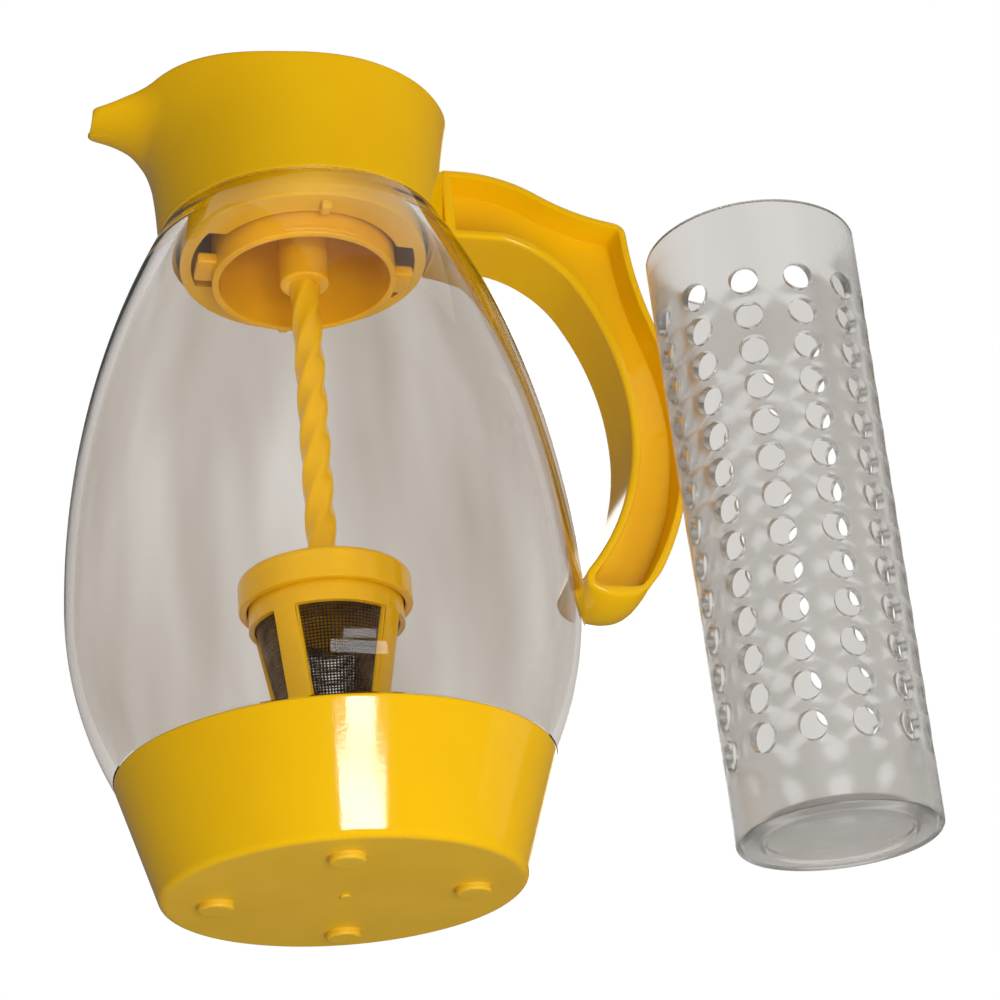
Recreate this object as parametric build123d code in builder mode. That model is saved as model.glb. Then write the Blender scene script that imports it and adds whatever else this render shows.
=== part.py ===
from build123d import *

import os
from math import cos, radians, sin, sqrt

# A round-bellied pitcher with a turn-lock lid, a twisted rod that carries a tea basket,
# and a perforated core tube that stands beside it.
# The pitcher stands on the XY plane with its axis on Z. The handle points along +X, the spout along -X.
# All sizes are in millimetres, all turns in degrees.

# Base cup
foot_height = 2.0
foot_diameter = 10.0
foot_circle_radius = 35.4
foot_count = 4
foot_turn = -11.0
foot_fillet = 0.6
gate_diameter = 3.0
gate_height = 0.6
base_bottom_radius = 50.6
base_rim_radius = 62.4
base_rim_height = 37.3
base_wall = 2.6
base_floor = 3.0
base_edge_fillet = 2.5

# Clear body
belly_radius = 74.9
belly_height = 88.0
body_wall = 2.8
body_floor = 3.0
nest_clearance = 0.3

# Collar, its sleeve and the notched floor under the lid
collar_bottom = 211.8
collar_height = 38.2
collar_bottom_radius = 44.5
collar_top_radius = 48.6
collar_wall = 2.4
seat_wall = 1.9
seat_width = 2.3
neck_height = 12.2
neck_wall = 2.6
neck_clearance = 0.3
neck_seal_thickness = 2.0
ledge_thickness = 2.6
sleeve_wall = 2.0
floor_drop = 7.8
floor_thickness = 2.4
floor_bore_radius = 30.2
notch_depth = 5.0
notch_half_width = 15.0
stop_length = 4.0
stop_width = 3.0
stop_height = 2.6
lid_recess = 8.2

# Rim: it rises in a curve towards the spout, where the wall leans out
rim_rise = 4.2
rim_peak_reach = 50.0
rim_curve_start = 25.0
rim_curve_end = 12.0
rim_trim = 2.0
flare_reach = 4.0
flare_height = 18.0
flare_cover = 0.3

# Spout: lip, throat and root sections
spout_length = 16.2
spout_tip_rise = 2.0
spout_lip_curve = 5.0
spout_tip_half_width = 8.5
spout_tip_depth = 5.0
spout_throat_length = 1.4
spout_throat_half_width = 18.2
spout_throat_depth = 14.4
spout_root_inset = 9.5
spout_root_cover = 0.6
spout_root_depth = 24.0
spout_wall = 2.2

# Handle: section, root, and an outline measured from the collar, the belly and the grip
handle_width = 24.0
handle_rim = 2.6
handle_web = 2.5
handle_lug_length = 5.5
handle_root_height = 24.0
handle_root_drop = 0.8
tongue_length = 3.4
tongue_width = 9.0
tongue_height = 15.0
tongue_clearance = 0.15
toe_gap = 0.3
toe_rise = 7.4
toe_round = 8.0
toe_cover = 0.5
finger_room = 22.0
grip_depth = 18.2
grip_drop = 63.0
brow_length = 25.3
brow_drop = 7.0
thumb_setback = 11.8
thumb_rise = 8.0
waist_setback = 5.6
waist_drop = 30.0
heel_length = 21.5
heel_drop = 3.6
shoulder_setback = 12.2
shoulder_drop = 17.8
underside_length = 12.0
thumb_fillet = 3.4
toe_fillet = 3.2

# Lid and its seal
lid_seal_thickness = 1.8
lid_seal_width = 1.6
lid_clearance = 0.3
lid_plate_thickness = 2.8
lid_skirt_radius = 28.8
lid_skirt_wall = 2.2
lid_skirt_drop = 6.5
lid_boss_radius = 7.7
lid_boss_drop = 0.7
lug_length = 5.2
lug_half_width = 5.5
lug_height = 3.8
rib_height = 1.2
rib_proud = 0.7
rib_half_width = 11.0
rib_rise = 1.0
grip_bar_length = 52.0
grip_bar_width = 11.0
grip_bar_height = 5.0
grip_bar_fillet = 2.0

# Twisted rod
rod_length = 99.8
rod_square = 7.9
rod_corner = 2.2
rod_pitch = 53.6
rod_shank_radius = 4.0
rod_shank_depth = 12.0
rod_fit = 0.1
rod_foot_radius = 5.65
rod_foot_height = 2.4
rod_foot_taper = 24.0
rod_stud_radius = 3.0

# Tea basket
cap_height = 10.2
cap_radius = 25.3
cap_wall = 2.4
cap_ceiling = 2.4
cap_fillet = 2.2
basket_clearance = 0.4
basket_ring_height = 5.8
basket_height = 43.0
basket_bottom_radius = 13.6
basket_wall = 1.7
basket_floor = 2.0
basket_sill = 3.0
basket_rib_width = 7.6
basket_rib_turn = 45.0
mesh_thickness = 0.5
mesh_gap = 0.2
mesh_overlap = 2.0

# Core tube
core_x = 126.0
core_y = -52.0
core_length = 185.0
core_top_radius = 31.5
core_bottom_radius = 28.5
core_wall = 2.4
core_floor = 6.0
core_edge_fillet = 2.0
core_dish_radius = 20.0
core_dish_depth = 1.0
hole_diameter = 8.4
hole_sides = 8
hole_columns = 12
hole_rows = 13
hole_pitch = 11.3
hole_first_row = 24.0

# Heights and radii that follow from the sizes above
base_floor_top = foot_height + base_floor
cup_bore_top = base_rim_radius - base_wall
collar_top = collar_bottom + collar_height
collar_bore_radius = collar_bottom_radius - collar_wall
neck_radius = collar_bore_radius - neck_clearance
neck_bore_radius = neck_radius - neck_wall
neck_top = collar_bottom + neck_height
ledge_bottom = neck_top + neck_seal_thickness
ledge_top = ledge_bottom + ledge_thickness
sleeve_radius = neck_bore_radius - neck_clearance
sleeve_bore_radius = sleeve_radius - sleeve_wall
floor_bottom = collar_bottom - floor_drop
floor_top = floor_bottom + floor_thickness
rim_peak = collar_top + rim_rise
rim_top = rim_peak + rim_trim
flare_bottom = collar_top - flare_height
lid_seat = collar_top - lid_recess
lid_seal_top = lid_seat + lid_seal_thickness
lid_plate_bottom = lid_seal_top + lid_clearance / 2
lid_plate_top = lid_plate_bottom + lid_plate_thickness
lid_skirt_bottom = floor_bottom - lid_skirt_drop
lid_boss_bottom = lid_skirt_bottom - lid_boss_drop
cap_top = lid_boss_bottom - rod_length
cap_bottom = cap_top - cap_height
cap_bore_radius = cap_radius - cap_wall
basket_ring_radius = cap_bore_radius - basket_clearance
basket_top = cap_top - cap_ceiling - basket_clearance
basket_ring_bottom = cap_bottom - basket_ring_height
basket_bottom = basket_ring_bottom - basket_height
basket_floor_top = basket_bottom + basket_floor


def base_radius(height):
    """Outer radius of the base cup's straight side at a height."""
    share = (height - foot_height) / (base_rim_height - foot_height)
    return base_bottom_radius + share * (base_rim_radius - base_bottom_radius)


def collar_radius(height):
    """Outer radius of the collar's flared wall at a height."""
    share = (height - collar_bottom) / collar_height
    return collar_bottom_radius + share**2 * (collar_top_radius - collar_bottom_radius)


def basket_radius(height):
    """Outer radius of the basket's tapering side at a height."""
    share = (height - basket_bottom) / basket_height
    return basket_bottom_radius + share * (basket_ring_radius - basket_bottom_radius)


def flare_section(height, wall):
    """A round section of the wall where it leans out to the spout, less a wall thickness."""
    share = max(0, 1 - (rim_top - height) / (rim_top - collar_top + flare_height))
    with BuildSketch(Plane.XY.offset(height)) as section:
        with Locations((-flare_reach * share**2, 0)):
            Circle(collar_radius(height) - wall)
    return section.sketch


def spout_section(distance, half_width, rim, depth):
    """A section across the spout on a plane that faces -X: straight sides over a round bottom."""
    plane = Plane(origin=(-distance, 0, rim), x_dir=(0, -1, 0), z_dir=(-1, 0, 0))
    with BuildSketch(plane) as section:
        with BuildLine():
            Polyline(
                (-half_width, 0),
                (-half_width, rim_top - rim),
                (half_width, rim_top - rim),
                (half_width, 0),
            )
            EllipticalCenterArc((0, 0), half_width, depth, start_angle=180, arc_size=180)
        make_face()
    return section.sketch


os.makedirs("parts", exist_ok=True)

# Base cup: a tapering cup on four moulded feet
with BuildPart() as base_cup:
    with BuildSketch(Plane.XZ):
        with BuildLine():
            Polyline(
                (0, foot_height),
                (base_bottom_radius, foot_height),
                (base_rim_radius, base_rim_height),
                (cup_bore_top, base_rim_height),
                (base_radius(base_floor_top) - base_wall, base_floor_top),
                (0, base_floor_top),
                close=True,
            )
        make_face()
    revolve(axis=Axis.Z)
    fillet(base_cup.edges().group_by(Axis.Z)[0], radius=base_edge_fillet)
    with BuildSketch(Plane.XY):
        with PolarLocations(foot_circle_radius, foot_count, start_angle=foot_turn):
            Circle(foot_diameter / 2)
    extrude(amount=foot_height + base_floor / 2)
    fillet(base_cup.edges().group_by(Axis.Z)[0], radius=foot_fillet)
    with BuildSketch(Plane.XY.offset(foot_height - gate_height)):
        Circle(gate_diameter / 2)
    extrude(amount=gate_height + base_floor / 2)
base_cup.part.label = "base_cup"
export_step(base_cup.part, "parts/base_cup.step")

# Clear body: a belly of two tangent arcs, a foot that nests in the base cup and a plain neck
body_bottom = base_floor_top + nest_clearance
body_foot_radius = base_radius(body_bottom) - base_wall - nest_clearance
body_ledge_radius = cup_bore_top - nest_clearance
with BuildPart() as clear_body:
    with BuildSketch(Plane.XZ):
        with BuildLine():
            Polyline(
                (0, body_bottom + body_floor),
                (0, body_bottom),
                (body_foot_radius, body_bottom),
                (body_ledge_radius, base_rim_height),
                (base_rim_radius, base_rim_height),
            )
            TangentArc(
                (belly_radius, belly_height), (base_rim_radius, base_rim_height), tangent=(0, -1)
            )
            TangentArc(
                (belly_radius, belly_height), (collar_bottom_radius, collar_bottom), tangent=(0, 1)
            )
            Polyline(
                (collar_bottom_radius, collar_bottom),
                (neck_radius, collar_bottom),
                (neck_radius, neck_top),
                (neck_bore_radius, neck_top),
                (neck_bore_radius, collar_bottom),
            )
            belly_inside = (belly_radius - body_wall, belly_height)
            ledge_inside = (body_ledge_radius - body_wall, base_rim_height)
            TangentArc(belly_inside, (neck_bore_radius, collar_bottom), tangent=(0, 1))
            TangentArc(belly_inside, ledge_inside, tangent=(0, -1))
            Polyline(
                ledge_inside,
                (body_foot_radius - body_wall, body_bottom + body_floor),
                (0, body_bottom + body_floor),
            )
        make_face()
    revolve(axis=Axis.Z)
clear_body.part.label = "clear_body"
export_step(clear_body.part, "parts/clear_body.step")

# Collar: outer wall, ledge over the neck, sleeve inside the neck, notched floor, spout and handle lug
handle_root_x = collar_bottom_radius + handle_lug_length
handle_root_top = collar_bottom + handle_root_height
handle_root_middle = collar_bottom + handle_root_height / 2
lid_bore_radius = collar_radius(lid_seat) - seat_wall
seat_bore_radius = lid_bore_radius - seat_width
lug_start_x = collar_bottom_radius - collar_wall / 2
spout_tip_top = collar_top + spout_tip_rise
root_x = collar_top_radius - spout_root_inset
root_half_width = sqrt((collar_top_radius - spout_root_cover) ** 2 - root_x**2)
throat_x = collar_top_radius + spout_throat_length
tip_x = collar_top_radius + spout_length
with BuildPart() as pour_collar:
    with BuildSketch(Plane.XZ):
        with BuildLine():
            Bezier(
                (collar_bottom_radius, collar_bottom),
                (collar_bottom_radius, (collar_bottom + collar_top) / 2),
                (collar_top_radius, collar_top),
            )
            Polyline(
                (collar_top_radius, collar_top),
                (lid_bore_radius, collar_top),
                (lid_bore_radius, lid_seat),
                (seat_bore_radius, lid_seat),
                (seat_bore_radius, ledge_top),
                (sleeve_bore_radius, ledge_top),
                (sleeve_bore_radius, floor_top),
                (floor_bore_radius, floor_top),
                (floor_bore_radius, floor_bottom),
                (sleeve_radius, floor_bottom),
                (sleeve_radius, ledge_bottom),
                (collar_bore_radius, ledge_bottom),
                (collar_bore_radius, collar_bottom),
                (collar_bottom_radius, collar_bottom),
            )
        make_face()
    revolve(axis=Axis.Z)
    # Flared wall and spout, lofted past the rim and trimmed to it below
    flare_middle = (flare_bottom + rim_top) / 2
    loft(
        [
            flare_section(flare_bottom, flare_cover),
            flare_section(flare_middle, flare_cover / 2),
            flare_section(rim_top, 0),
        ]
    )
    loft(
        [
            spout_section(root_x, root_half_width, rim_peak, spout_root_depth),
            spout_section(throat_x, spout_throat_half_width, rim_peak, spout_throat_depth),
            spout_section(tip_x, spout_tip_half_width, spout_tip_top, spout_tip_depth),
        ]
    )
    # Lug that carries the handle
    with BuildSketch(Plane.YZ.offset(lug_start_x)):
        with Locations((0, handle_root_middle)):
            Rectangle(handle_width, handle_root_height)
    extrude(amount=handle_root_x - lug_start_x)
    # Room for the lid
    with BuildSketch(Plane.XZ):
        with BuildLine():
            Polyline(
                (0, ledge_top),
                (seat_bore_radius, ledge_top),
                (seat_bore_radius, lid_seat),
                (lid_bore_radius, lid_seat),
                (lid_bore_radius, rim_top),
                (0, rim_top),
                close=True,
            )
        make_face()
    revolve(axis=Axis.Z, mode=Mode.SUBTRACT)
    # Inside of the flared wall and pouring channel
    room_middle = (lid_seat + rim_top) / 2
    loft(
        [
            flare_section(lid_seat, spout_wall),
            flare_section(room_middle, spout_wall),
            flare_section(rim_top, spout_wall),
        ],
        mode=Mode.SUBTRACT,
    )
    loft(
        [
            spout_section(
                root_x - collar_wall,
                root_half_width - spout_wall,
                rim_peak,
                spout_root_depth - spout_wall,
            ),
            spout_section(
                throat_x,
                spout_throat_half_width - spout_wall,
                rim_peak,
                spout_throat_depth - spout_wall,
            ),
            spout_section(
                tip_x + spout_wall,
                spout_tip_half_width - spout_wall,
                spout_tip_top,
                spout_tip_depth - spout_wall,
            ),
        ],
        mode=Mode.SUBTRACT,
    )
    # Rim line, cut from the side
    with BuildSketch(Plane.XZ):
        with BuildLine():
            Bezier(
                (0, collar_top),
                (-rim_curve_start, collar_top),
                (rim_curve_end - rim_peak_reach, rim_peak),
                (-rim_peak_reach, rim_peak),
            )
            Bezier(
                (-rim_peak_reach, rim_peak),
                (-rim_peak_reach - spout_lip_curve, rim_peak),
                (spout_lip_curve - tip_x, spout_tip_top),
                (-tip_x, spout_tip_top),
            )
            Polyline(
                (-tip_x, spout_tip_top),
                (-tip_x, rim_top),
                (collar_top_radius, rim_top),
                (collar_top_radius, collar_top),
                (0, collar_top),
            )
        make_face()
    extrude(amount=collar_top_radius + flare_reach, both=True, mode=Mode.SUBTRACT)
    # Notches that let the lid's lugs through the floor
    with BuildSketch(Plane.XY.offset(floor_bottom)):
        Circle(floor_bore_radius + notch_depth)
        Rectangle(2 * collar_top_radius, 2 * notch_half_width, mode=Mode.INTERSECT)
    extrude(amount=floor_thickness, mode=Mode.SUBTRACT)
    # Stops under the floor for the lid's lugs
    with BuildSketch(Plane.XY.offset(floor_bottom - stop_height)):
        with PolarLocations((floor_bore_radius + sleeve_radius) / 2, 2, start_angle=90):
            Rectangle(stop_length, stop_width)
    extrude(amount=stop_height)
    # Pocket for the handle's tongue
    with BuildSketch(Plane.YZ.offset(handle_root_x)):
        with Locations((0, handle_root_middle)):
            Rectangle(tongue_width + 2 * tongue_clearance, tongue_height + 2 * tongue_clearance)
    extrude(amount=-tongue_length - tongue_clearance, mode=Mode.SUBTRACT)
pour_collar.part.label = "pour_collar"
export_step(pour_collar.part, "parts/pour_collar.step")

# Handle: an I-section grip that hangs from the collar's lug, with its toe beside the belly
toe_x = belly_radius + toe_gap
toe_height = belly_height + toe_rise
grip_x = belly_radius + finger_room
reach_x = grip_x + grip_depth
grip_height = collar_bottom - grip_drop
root_bottom = collar_bottom - handle_root_drop
thumb_corner = (reach_x - thumb_setback, collar_bottom + thumb_rise)
toe_corner = (toe_x, toe_height)
with BuildSketch() as handle_side:
    with BuildLine():
        brow = TangentArc(
            (handle_root_x, handle_root_top),
            (handle_root_x + brow_length, handle_root_top - brow_drop),
            tangent=(1, 0),
        )
        TangentArc(brow @ 1, thumb_corner, tangent=brow % 1)
        waist = (reach_x - waist_setback, collar_bottom - waist_drop)
        TangentArc(thumb_corner, waist, tangent=(0, -1))
        TangentArc((reach_x, grip_height), waist, tangent=(0, 1))
        back = TangentArc(
            (reach_x, grip_height), (toe_x + heel_length, toe_height - heel_drop), tangent=(0, -1)
        )
        toe = TangentArc(back @ 1, toe_corner, tangent=back % 1)
        TangentArc((grip_x, grip_height), toe_corner, tangent=(0, -1))
        palm = TangentArc(
            (grip_x, grip_height),
            (grip_x - shoulder_setback, collar_bottom - shoulder_drop),
            tangent=(0, 1),
        )
        TangentArc(palm @ 1, (handle_root_x + underside_length, root_bottom), tangent=palm % 1)
        Polyline(
            (handle_root_x + underside_length, root_bottom),
            (handle_root_x, root_bottom),
            (handle_root_x, handle_root_top),
        )
    make_face()
    corners = handle_side.vertices()
    fillet(corners.sort_by_distance(thumb_corner)[0], radius=thumb_fillet)
    fillet(corners.sort_by_distance(toe_corner)[0], radius=toe_fillet)
toe_bottom = toe.bounding_box().min.Y - toe_cover
with BuildPart() as handle:
    with BuildSketch(Plane.XZ):
        add(handle_side.sketch)
    extrude(amount=handle_width / 2, both=True)
    # Toe rounded across the handle's width
    with BuildSketch(Plane.YZ) as handle_front:
        with Locations((0, (handle_root_top + toe_bottom) / 2)):
            Rectangle(handle_width, handle_root_top - toe_bottom)
        fillet(handle_front.vertices().sort_by(Axis.Y)[:2], radius=toe_round)
    extrude(amount=2 * reach_x, mode=Mode.INTERSECT)
    # Recesses on both sides of the web
    for side in (1, -1):
        with BuildSketch(Plane.XZ.offset(side * handle_web / 2)):
            add(handle_side.sketch)
            offset(amount=-handle_rim, kind=Kind.INTERSECTION, mode=Mode.REPLACE)
        extrude(amount=side * handle_width / 2, mode=Mode.SUBTRACT)
    # Tongue that locks the handle in the lug
    with BuildSketch(Plane.YZ.offset(handle_root_x)):
        with Locations((0, handle_root_middle)):
            Rectangle(tongue_width, tongue_height)
    extrude(amount=-tongue_length)
handle.part.label = "handle"
export_step(handle.part, "parts/handle.step")

# Seal between the neck's top and the collar's ledge
with BuildPart() as neck_seal:
    with BuildSketch(Plane.XY.offset(neck_top)):
        Circle(neck_radius)
        Circle(neck_bore_radius, mode=Mode.SUBTRACT)
    extrude(amount=neck_seal_thickness)
neck_seal.part.label = "neck_seal"
export_step(neck_seal.part, "parts/neck_seal.step")

# Seal ring that the lid sits on
lid_plate_radius = lid_bore_radius - lid_clearance
lid_spigot_radius = seat_bore_radius - lid_clearance
with BuildPart() as lid_seal:
    with BuildSketch(Plane.XY.offset(lid_seat)):
        Circle(lid_plate_radius)
        Circle(lid_plate_radius - lid_seal_width, mode=Mode.SUBTRACT)
    extrude(amount=lid_seal_thickness)
lid_seal.part.label = "lid_seal"
export_step(lid_seal.part, "parts/lid_seal.step")

# Lid: a plate with a finger grip, a deep skirt with lugs and ribs, and a boss for the rod
skirt_middle_radius = lid_skirt_radius - lid_skirt_wall / 2
with BuildPart() as lid:
    with BuildSketch(Plane.XY.offset(lid_plate_bottom)):
        Circle(lid_plate_radius)
    extrude(amount=lid_plate_thickness)
    with BuildSketch(Plane.XY.offset(lid_plate_bottom)):
        Circle(lid_spigot_radius)
        Circle(lid_spigot_radius - lid_skirt_wall, mode=Mode.SUBTRACT)
    extrude(amount=-lid_seal_thickness)
    with BuildSketch(Plane.XY.offset(lid_skirt_bottom)):
        Circle(lid_skirt_radius)
        Circle(lid_skirt_radius - lid_skirt_wall, mode=Mode.SUBTRACT)
    extrude(amount=lid_plate_bottom - lid_skirt_bottom)
    with BuildSketch(Plane.XY.offset(lid_boss_bottom)):
        Circle(lid_boss_radius)
    extrude(amount=lid_plate_bottom - lid_boss_bottom)
    with BuildSketch(Plane.XY.offset(lid_boss_bottom)):
        Circle(rod_shank_radius + rod_fit)
    extrude(amount=rod_shank_depth + rod_fit, mode=Mode.SUBTRACT)
    # Lugs that lock under the collar's floor
    with BuildSketch(Plane.XY.offset(floor_bottom - lid_clearance)):
        Circle(lid_skirt_radius + lug_length)
        Rectangle(2 * collar_top_radius, 2 * lug_half_width, mode=Mode.INTERSECT)
        Circle(skirt_middle_radius, mode=Mode.SUBTRACT)
    extrude(amount=-lug_height)
    # Short ribs that hold the core tube
    with BuildSketch(Plane.XY.offset(lid_skirt_bottom + rib_rise)):
        Circle(lid_skirt_radius + rib_proud)
        Rectangle(2 * rib_half_width, 2 * collar_top_radius, mode=Mode.INTERSECT)
        Circle(skirt_middle_radius, mode=Mode.SUBTRACT)
    extrude(amount=rib_height)
    # Finger grip on top
    with BuildSketch(Plane.XY.offset(lid_plate_top)):
        SlotOverall(grip_bar_length, grip_bar_width)
    extrude(amount=grip_bar_height)
    fillet(lid.edges().group_by(Axis.Z)[-1], radius=grip_bar_fillet)
lid.part.label = "lid"
export_step(lid.part, "parts/lid.step")

# Twisted rod: a rounded square turned along its length, with a shank above and a foot below
twist_bottom = cap_top + rod_foot_height
twist_height = lid_boss_bottom - twist_bottom
with BuildSketch(Plane.XY.offset(twist_bottom)) as rod_section:
    RectangleRounded(rod_square, rod_square, rod_corner)
rod_twist = Solid.extrude_linear_with_rotation(
    rod_section.sketch.face(),
    center=(0, 0, twist_bottom),
    normal=(0, 0, twist_height),
    angle=360 * twist_height / rod_pitch,
)
with BuildPart() as twist_rod:
    add(rod_twist)
    with BuildSketch(Plane.XY.offset(cap_top)):
        Circle(rod_foot_radius)
    extrude(amount=rod_foot_height, taper=rod_foot_taper)
    with BuildSketch(Plane.XY.offset(cap_top)):
        Circle(rod_stud_radius)
    extrude(amount=-cap_ceiling)
    with BuildSketch(Plane.XY.offset(lid_boss_bottom)):
        Circle(rod_shank_radius)
    extrude(amount=rod_shank_depth)
twist_rod.part.label = "twist_rod"
export_step(twist_rod.part, "parts/twist_rod.step")

# Basket cap: a shallow cap under the rod's foot
with BuildPart() as basket_cap:
    with BuildSketch(Plane.XY.offset(cap_bottom)):
        Circle(cap_radius)
    extrude(amount=cap_height)
    fillet(basket_cap.edges().group_by(Axis.Z)[-1], radius=cap_fillet)
    with BuildSketch(Plane.XY.offset(cap_bottom)):
        Circle(cap_bore_radius)
    extrude(amount=cap_height - cap_ceiling, mode=Mode.SUBTRACT)
    with BuildSketch(Plane.XY.offset(cap_top)):
        Circle(rod_stud_radius + rod_fit)
    extrude(amount=-cap_ceiling, mode=Mode.SUBTRACT)
basket_cap.part.label = "basket_cap"
export_step(basket_cap.part, "parts/basket_cap.step")

# Basket frame: a ring, four ribs and a closed bottom cut from one tapering cup
with BuildPart() as basket_frame:
    with BuildSketch(Plane.XZ):
        with BuildLine():
            Polyline(
                (0, basket_bottom),
                (basket_bottom_radius, basket_bottom),
                (basket_ring_radius, basket_ring_bottom),
                (basket_ring_radius, basket_top),
                (basket_ring_radius - basket_wall, basket_top),
                (basket_ring_radius - basket_wall, basket_ring_bottom),
                (basket_radius(basket_floor_top) - basket_wall, basket_floor_top),
                (0, basket_floor_top),
                close=True,
            )
        make_face()
    revolve(axis=Axis.Z)
    with BuildSketch(Plane.XY.offset(basket_floor_top + basket_sill)):
        Circle(cap_radius)
        Rectangle(2 * cap_radius, basket_rib_width, rotation=basket_rib_turn, mode=Mode.SUBTRACT)
        Rectangle(basket_rib_width, 2 * cap_radius, rotation=basket_rib_turn, mode=Mode.SUBTRACT)
    extrude(amount=basket_height - basket_floor - basket_sill, mode=Mode.SUBTRACT)
basket_frame.part.label = "basket_frame"
export_step(basket_frame.part, "parts/basket_frame.step")

# Steel mesh: a thin tapering sleeve inside the frame
mesh_bottom = basket_floor_top + mesh_gap
mesh_top = basket_ring_bottom + mesh_overlap
mesh_inset = basket_wall + mesh_gap
mesh_low_radius = basket_radius(mesh_bottom) - mesh_inset
mesh_high_radius = basket_ring_radius - mesh_inset
with BuildPart() as basket_mesh:
    with BuildSketch(Plane.XZ):
        with BuildLine():
            Polyline(
                (mesh_low_radius, mesh_bottom),
                (mesh_high_radius, basket_ring_bottom),
                (mesh_high_radius, mesh_top),
                (mesh_high_radius - mesh_thickness, mesh_top),
                (mesh_high_radius - mesh_thickness, basket_ring_bottom),
                (mesh_low_radius - mesh_thickness, mesh_bottom),
                close=True,
            )
        make_face()
    revolve(axis=Axis.Z)
basket_mesh.part.label = "basket_mesh"
export_step(basket_mesh.part, "parts/basket_mesh.step")

# Core tube: a tapering clear tube with a thick dished bottom and rows of holes
core_front = Plane(origin=(core_x, core_y, 0), x_dir=(1, 0, 0), z_dir=(0, -1, 0))
hole_planes = []
for row in range(hole_rows):
    for column in range(hole_columns):
        turn = radians(360 * column / hole_columns)
        hole_planes.append(
            Plane(
                origin=(core_x, core_y, hole_first_row + row * hole_pitch),
                x_dir=(0, 0, 1),
                z_dir=(cos(turn), sin(turn), 0),
            )
        )
with BuildPart() as ice_core:
    with BuildSketch(core_front):
        with BuildLine():
            Polyline(
                (0, 0),
                (core_bottom_radius, 0),
                (core_top_radius, core_length),
                (core_top_radius - core_wall, core_length),
                (core_bottom_radius - core_wall, core_floor),
                (0, core_floor),
                close=True,
            )
        make_face()
    revolve(axis=Axis((core_x, core_y, 0), (0, 0, 1)))
    fillet(ice_core.edges().group_by(Axis.Z)[0], radius=core_edge_fillet)
    with BuildSketch(Plane((core_x, core_y, 0))):
        Circle(core_dish_radius)
    extrude(amount=core_dish_depth, mode=Mode.SUBTRACT)
    with BuildSketch(*hole_planes):
        RegularPolygon(hole_diameter / 2, hole_sides)
    extrude(amount=core_top_radius + core_wall, mode=Mode.SUBTRACT)
ice_core.part.label = "ice_core"
export_step(ice_core.part, "parts/ice_core.step")
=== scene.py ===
"""Looks of a clear pitcher with yellow fittings, and of the perforated core that stands beside it.

Sizes are in millimetres in the part's own frame: +Z up along the pitcher's axis, the handle towards +X
and the spout towards -X. The bench turns them into metres.
"""

import logging
from dataclasses import dataclass
from enum import Enum
from math import asin, atan2, cos, degrees, hypot, pi, radians, sin, sqrt, tan
from typing import Callable, Sequence

import bpy
from mathutils import Matrix, Vector
from mathutils.kdtree import KDTree


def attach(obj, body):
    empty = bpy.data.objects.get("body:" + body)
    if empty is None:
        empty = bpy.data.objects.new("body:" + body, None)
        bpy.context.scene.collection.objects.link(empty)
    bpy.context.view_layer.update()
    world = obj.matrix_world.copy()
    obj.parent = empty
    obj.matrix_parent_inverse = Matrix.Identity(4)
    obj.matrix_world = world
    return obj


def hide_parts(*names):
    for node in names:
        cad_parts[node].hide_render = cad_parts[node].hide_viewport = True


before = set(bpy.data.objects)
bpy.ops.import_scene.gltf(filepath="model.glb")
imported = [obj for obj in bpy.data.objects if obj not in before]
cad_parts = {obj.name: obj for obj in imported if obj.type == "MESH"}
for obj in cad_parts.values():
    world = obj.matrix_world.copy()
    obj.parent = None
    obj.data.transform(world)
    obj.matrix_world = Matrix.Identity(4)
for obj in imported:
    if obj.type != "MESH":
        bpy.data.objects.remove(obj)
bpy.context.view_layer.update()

Flat = tuple[float, float]
Place = tuple[float, float, float]
Corner = Place
Colour = Place
Piece = bpy.types.Object
Material = bpy.types.Material
Socket = bpy.types.NodeSocket

LOG = logging.getLogger("pitcher")
MM = 0.001
WELD = 0.01 * MM
CLOSE = 0.01  # millimetres within which two places count as the same
ON_RING = 0.05  # millimetres within which an edge counts as part of a ring
MARGIN = 1.0  # millimetres by which a tool or a test reaches past a surface
LEVEL = 0.9  # upward share of its direction from which a face counts as level
TINY = 1e-6  # keeps a divisor above 0
SMOOTH_ANGLE = 36.0  # degrees up to which neighbouring faces are shaded as one surface
LONGEST_BEND = 0.49  # share of a straight run that a rounded corner may take up
HOLD = 0.4  # furthest millimetres from a bend to the point that keeps the run beside it flat
HOLD_SHARE = 0.25  # share of the run's free half that this distance may take up


class Body(Enum):
    """The CAD bodies that pieces ride on."""

    PITCHER = "pitcher"
    SEAL = "seal"
    LID = "lid"
    BASKET = "basket"
    CORE = "core"


class Slot(Enum):
    """The record's material slots."""

    CLEAR = "clear_plastic"
    YELLOW = "yellow_plastic"
    RUBBER = "seal_rubber"
    STEEL = "steel_mesh"


def tangent_arc(start: Flat, end: Flat, tangent: Flat, steps: int) -> list[Flat]:
    """Points of the arc that leaves one point along a tangent and ends at another.

    Args:
        start: Point that the arc leaves.
        end: Point that the arc reaches.
        tangent: Direction of the arc at its start.
        steps: Straight pieces in the arc.

    Returns:
        The points from start to end.
    """
    forward = Vector(tangent).normalized()
    aside = Vector((-forward.y, forward.x))
    chord = Vector(end) - Vector(start)
    sweep = 2 * atan2(chord.dot(aside), chord.dot(forward))
    centre = Vector(start) + aside * chord.length_squared / (2 * chord.dot(aside))
    arm = Vector(start) - centre
    return [tuple(centre + Matrix.Rotation(sweep * step / steps, 2) @ arm) for step in range(steps + 1)]


def heading(points: Sequence[Flat]) -> Flat:
    """Direction of the last stretch of a line of points."""
    return tuple(Vector(points[-1]) - Vector(points[-2]))


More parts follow.
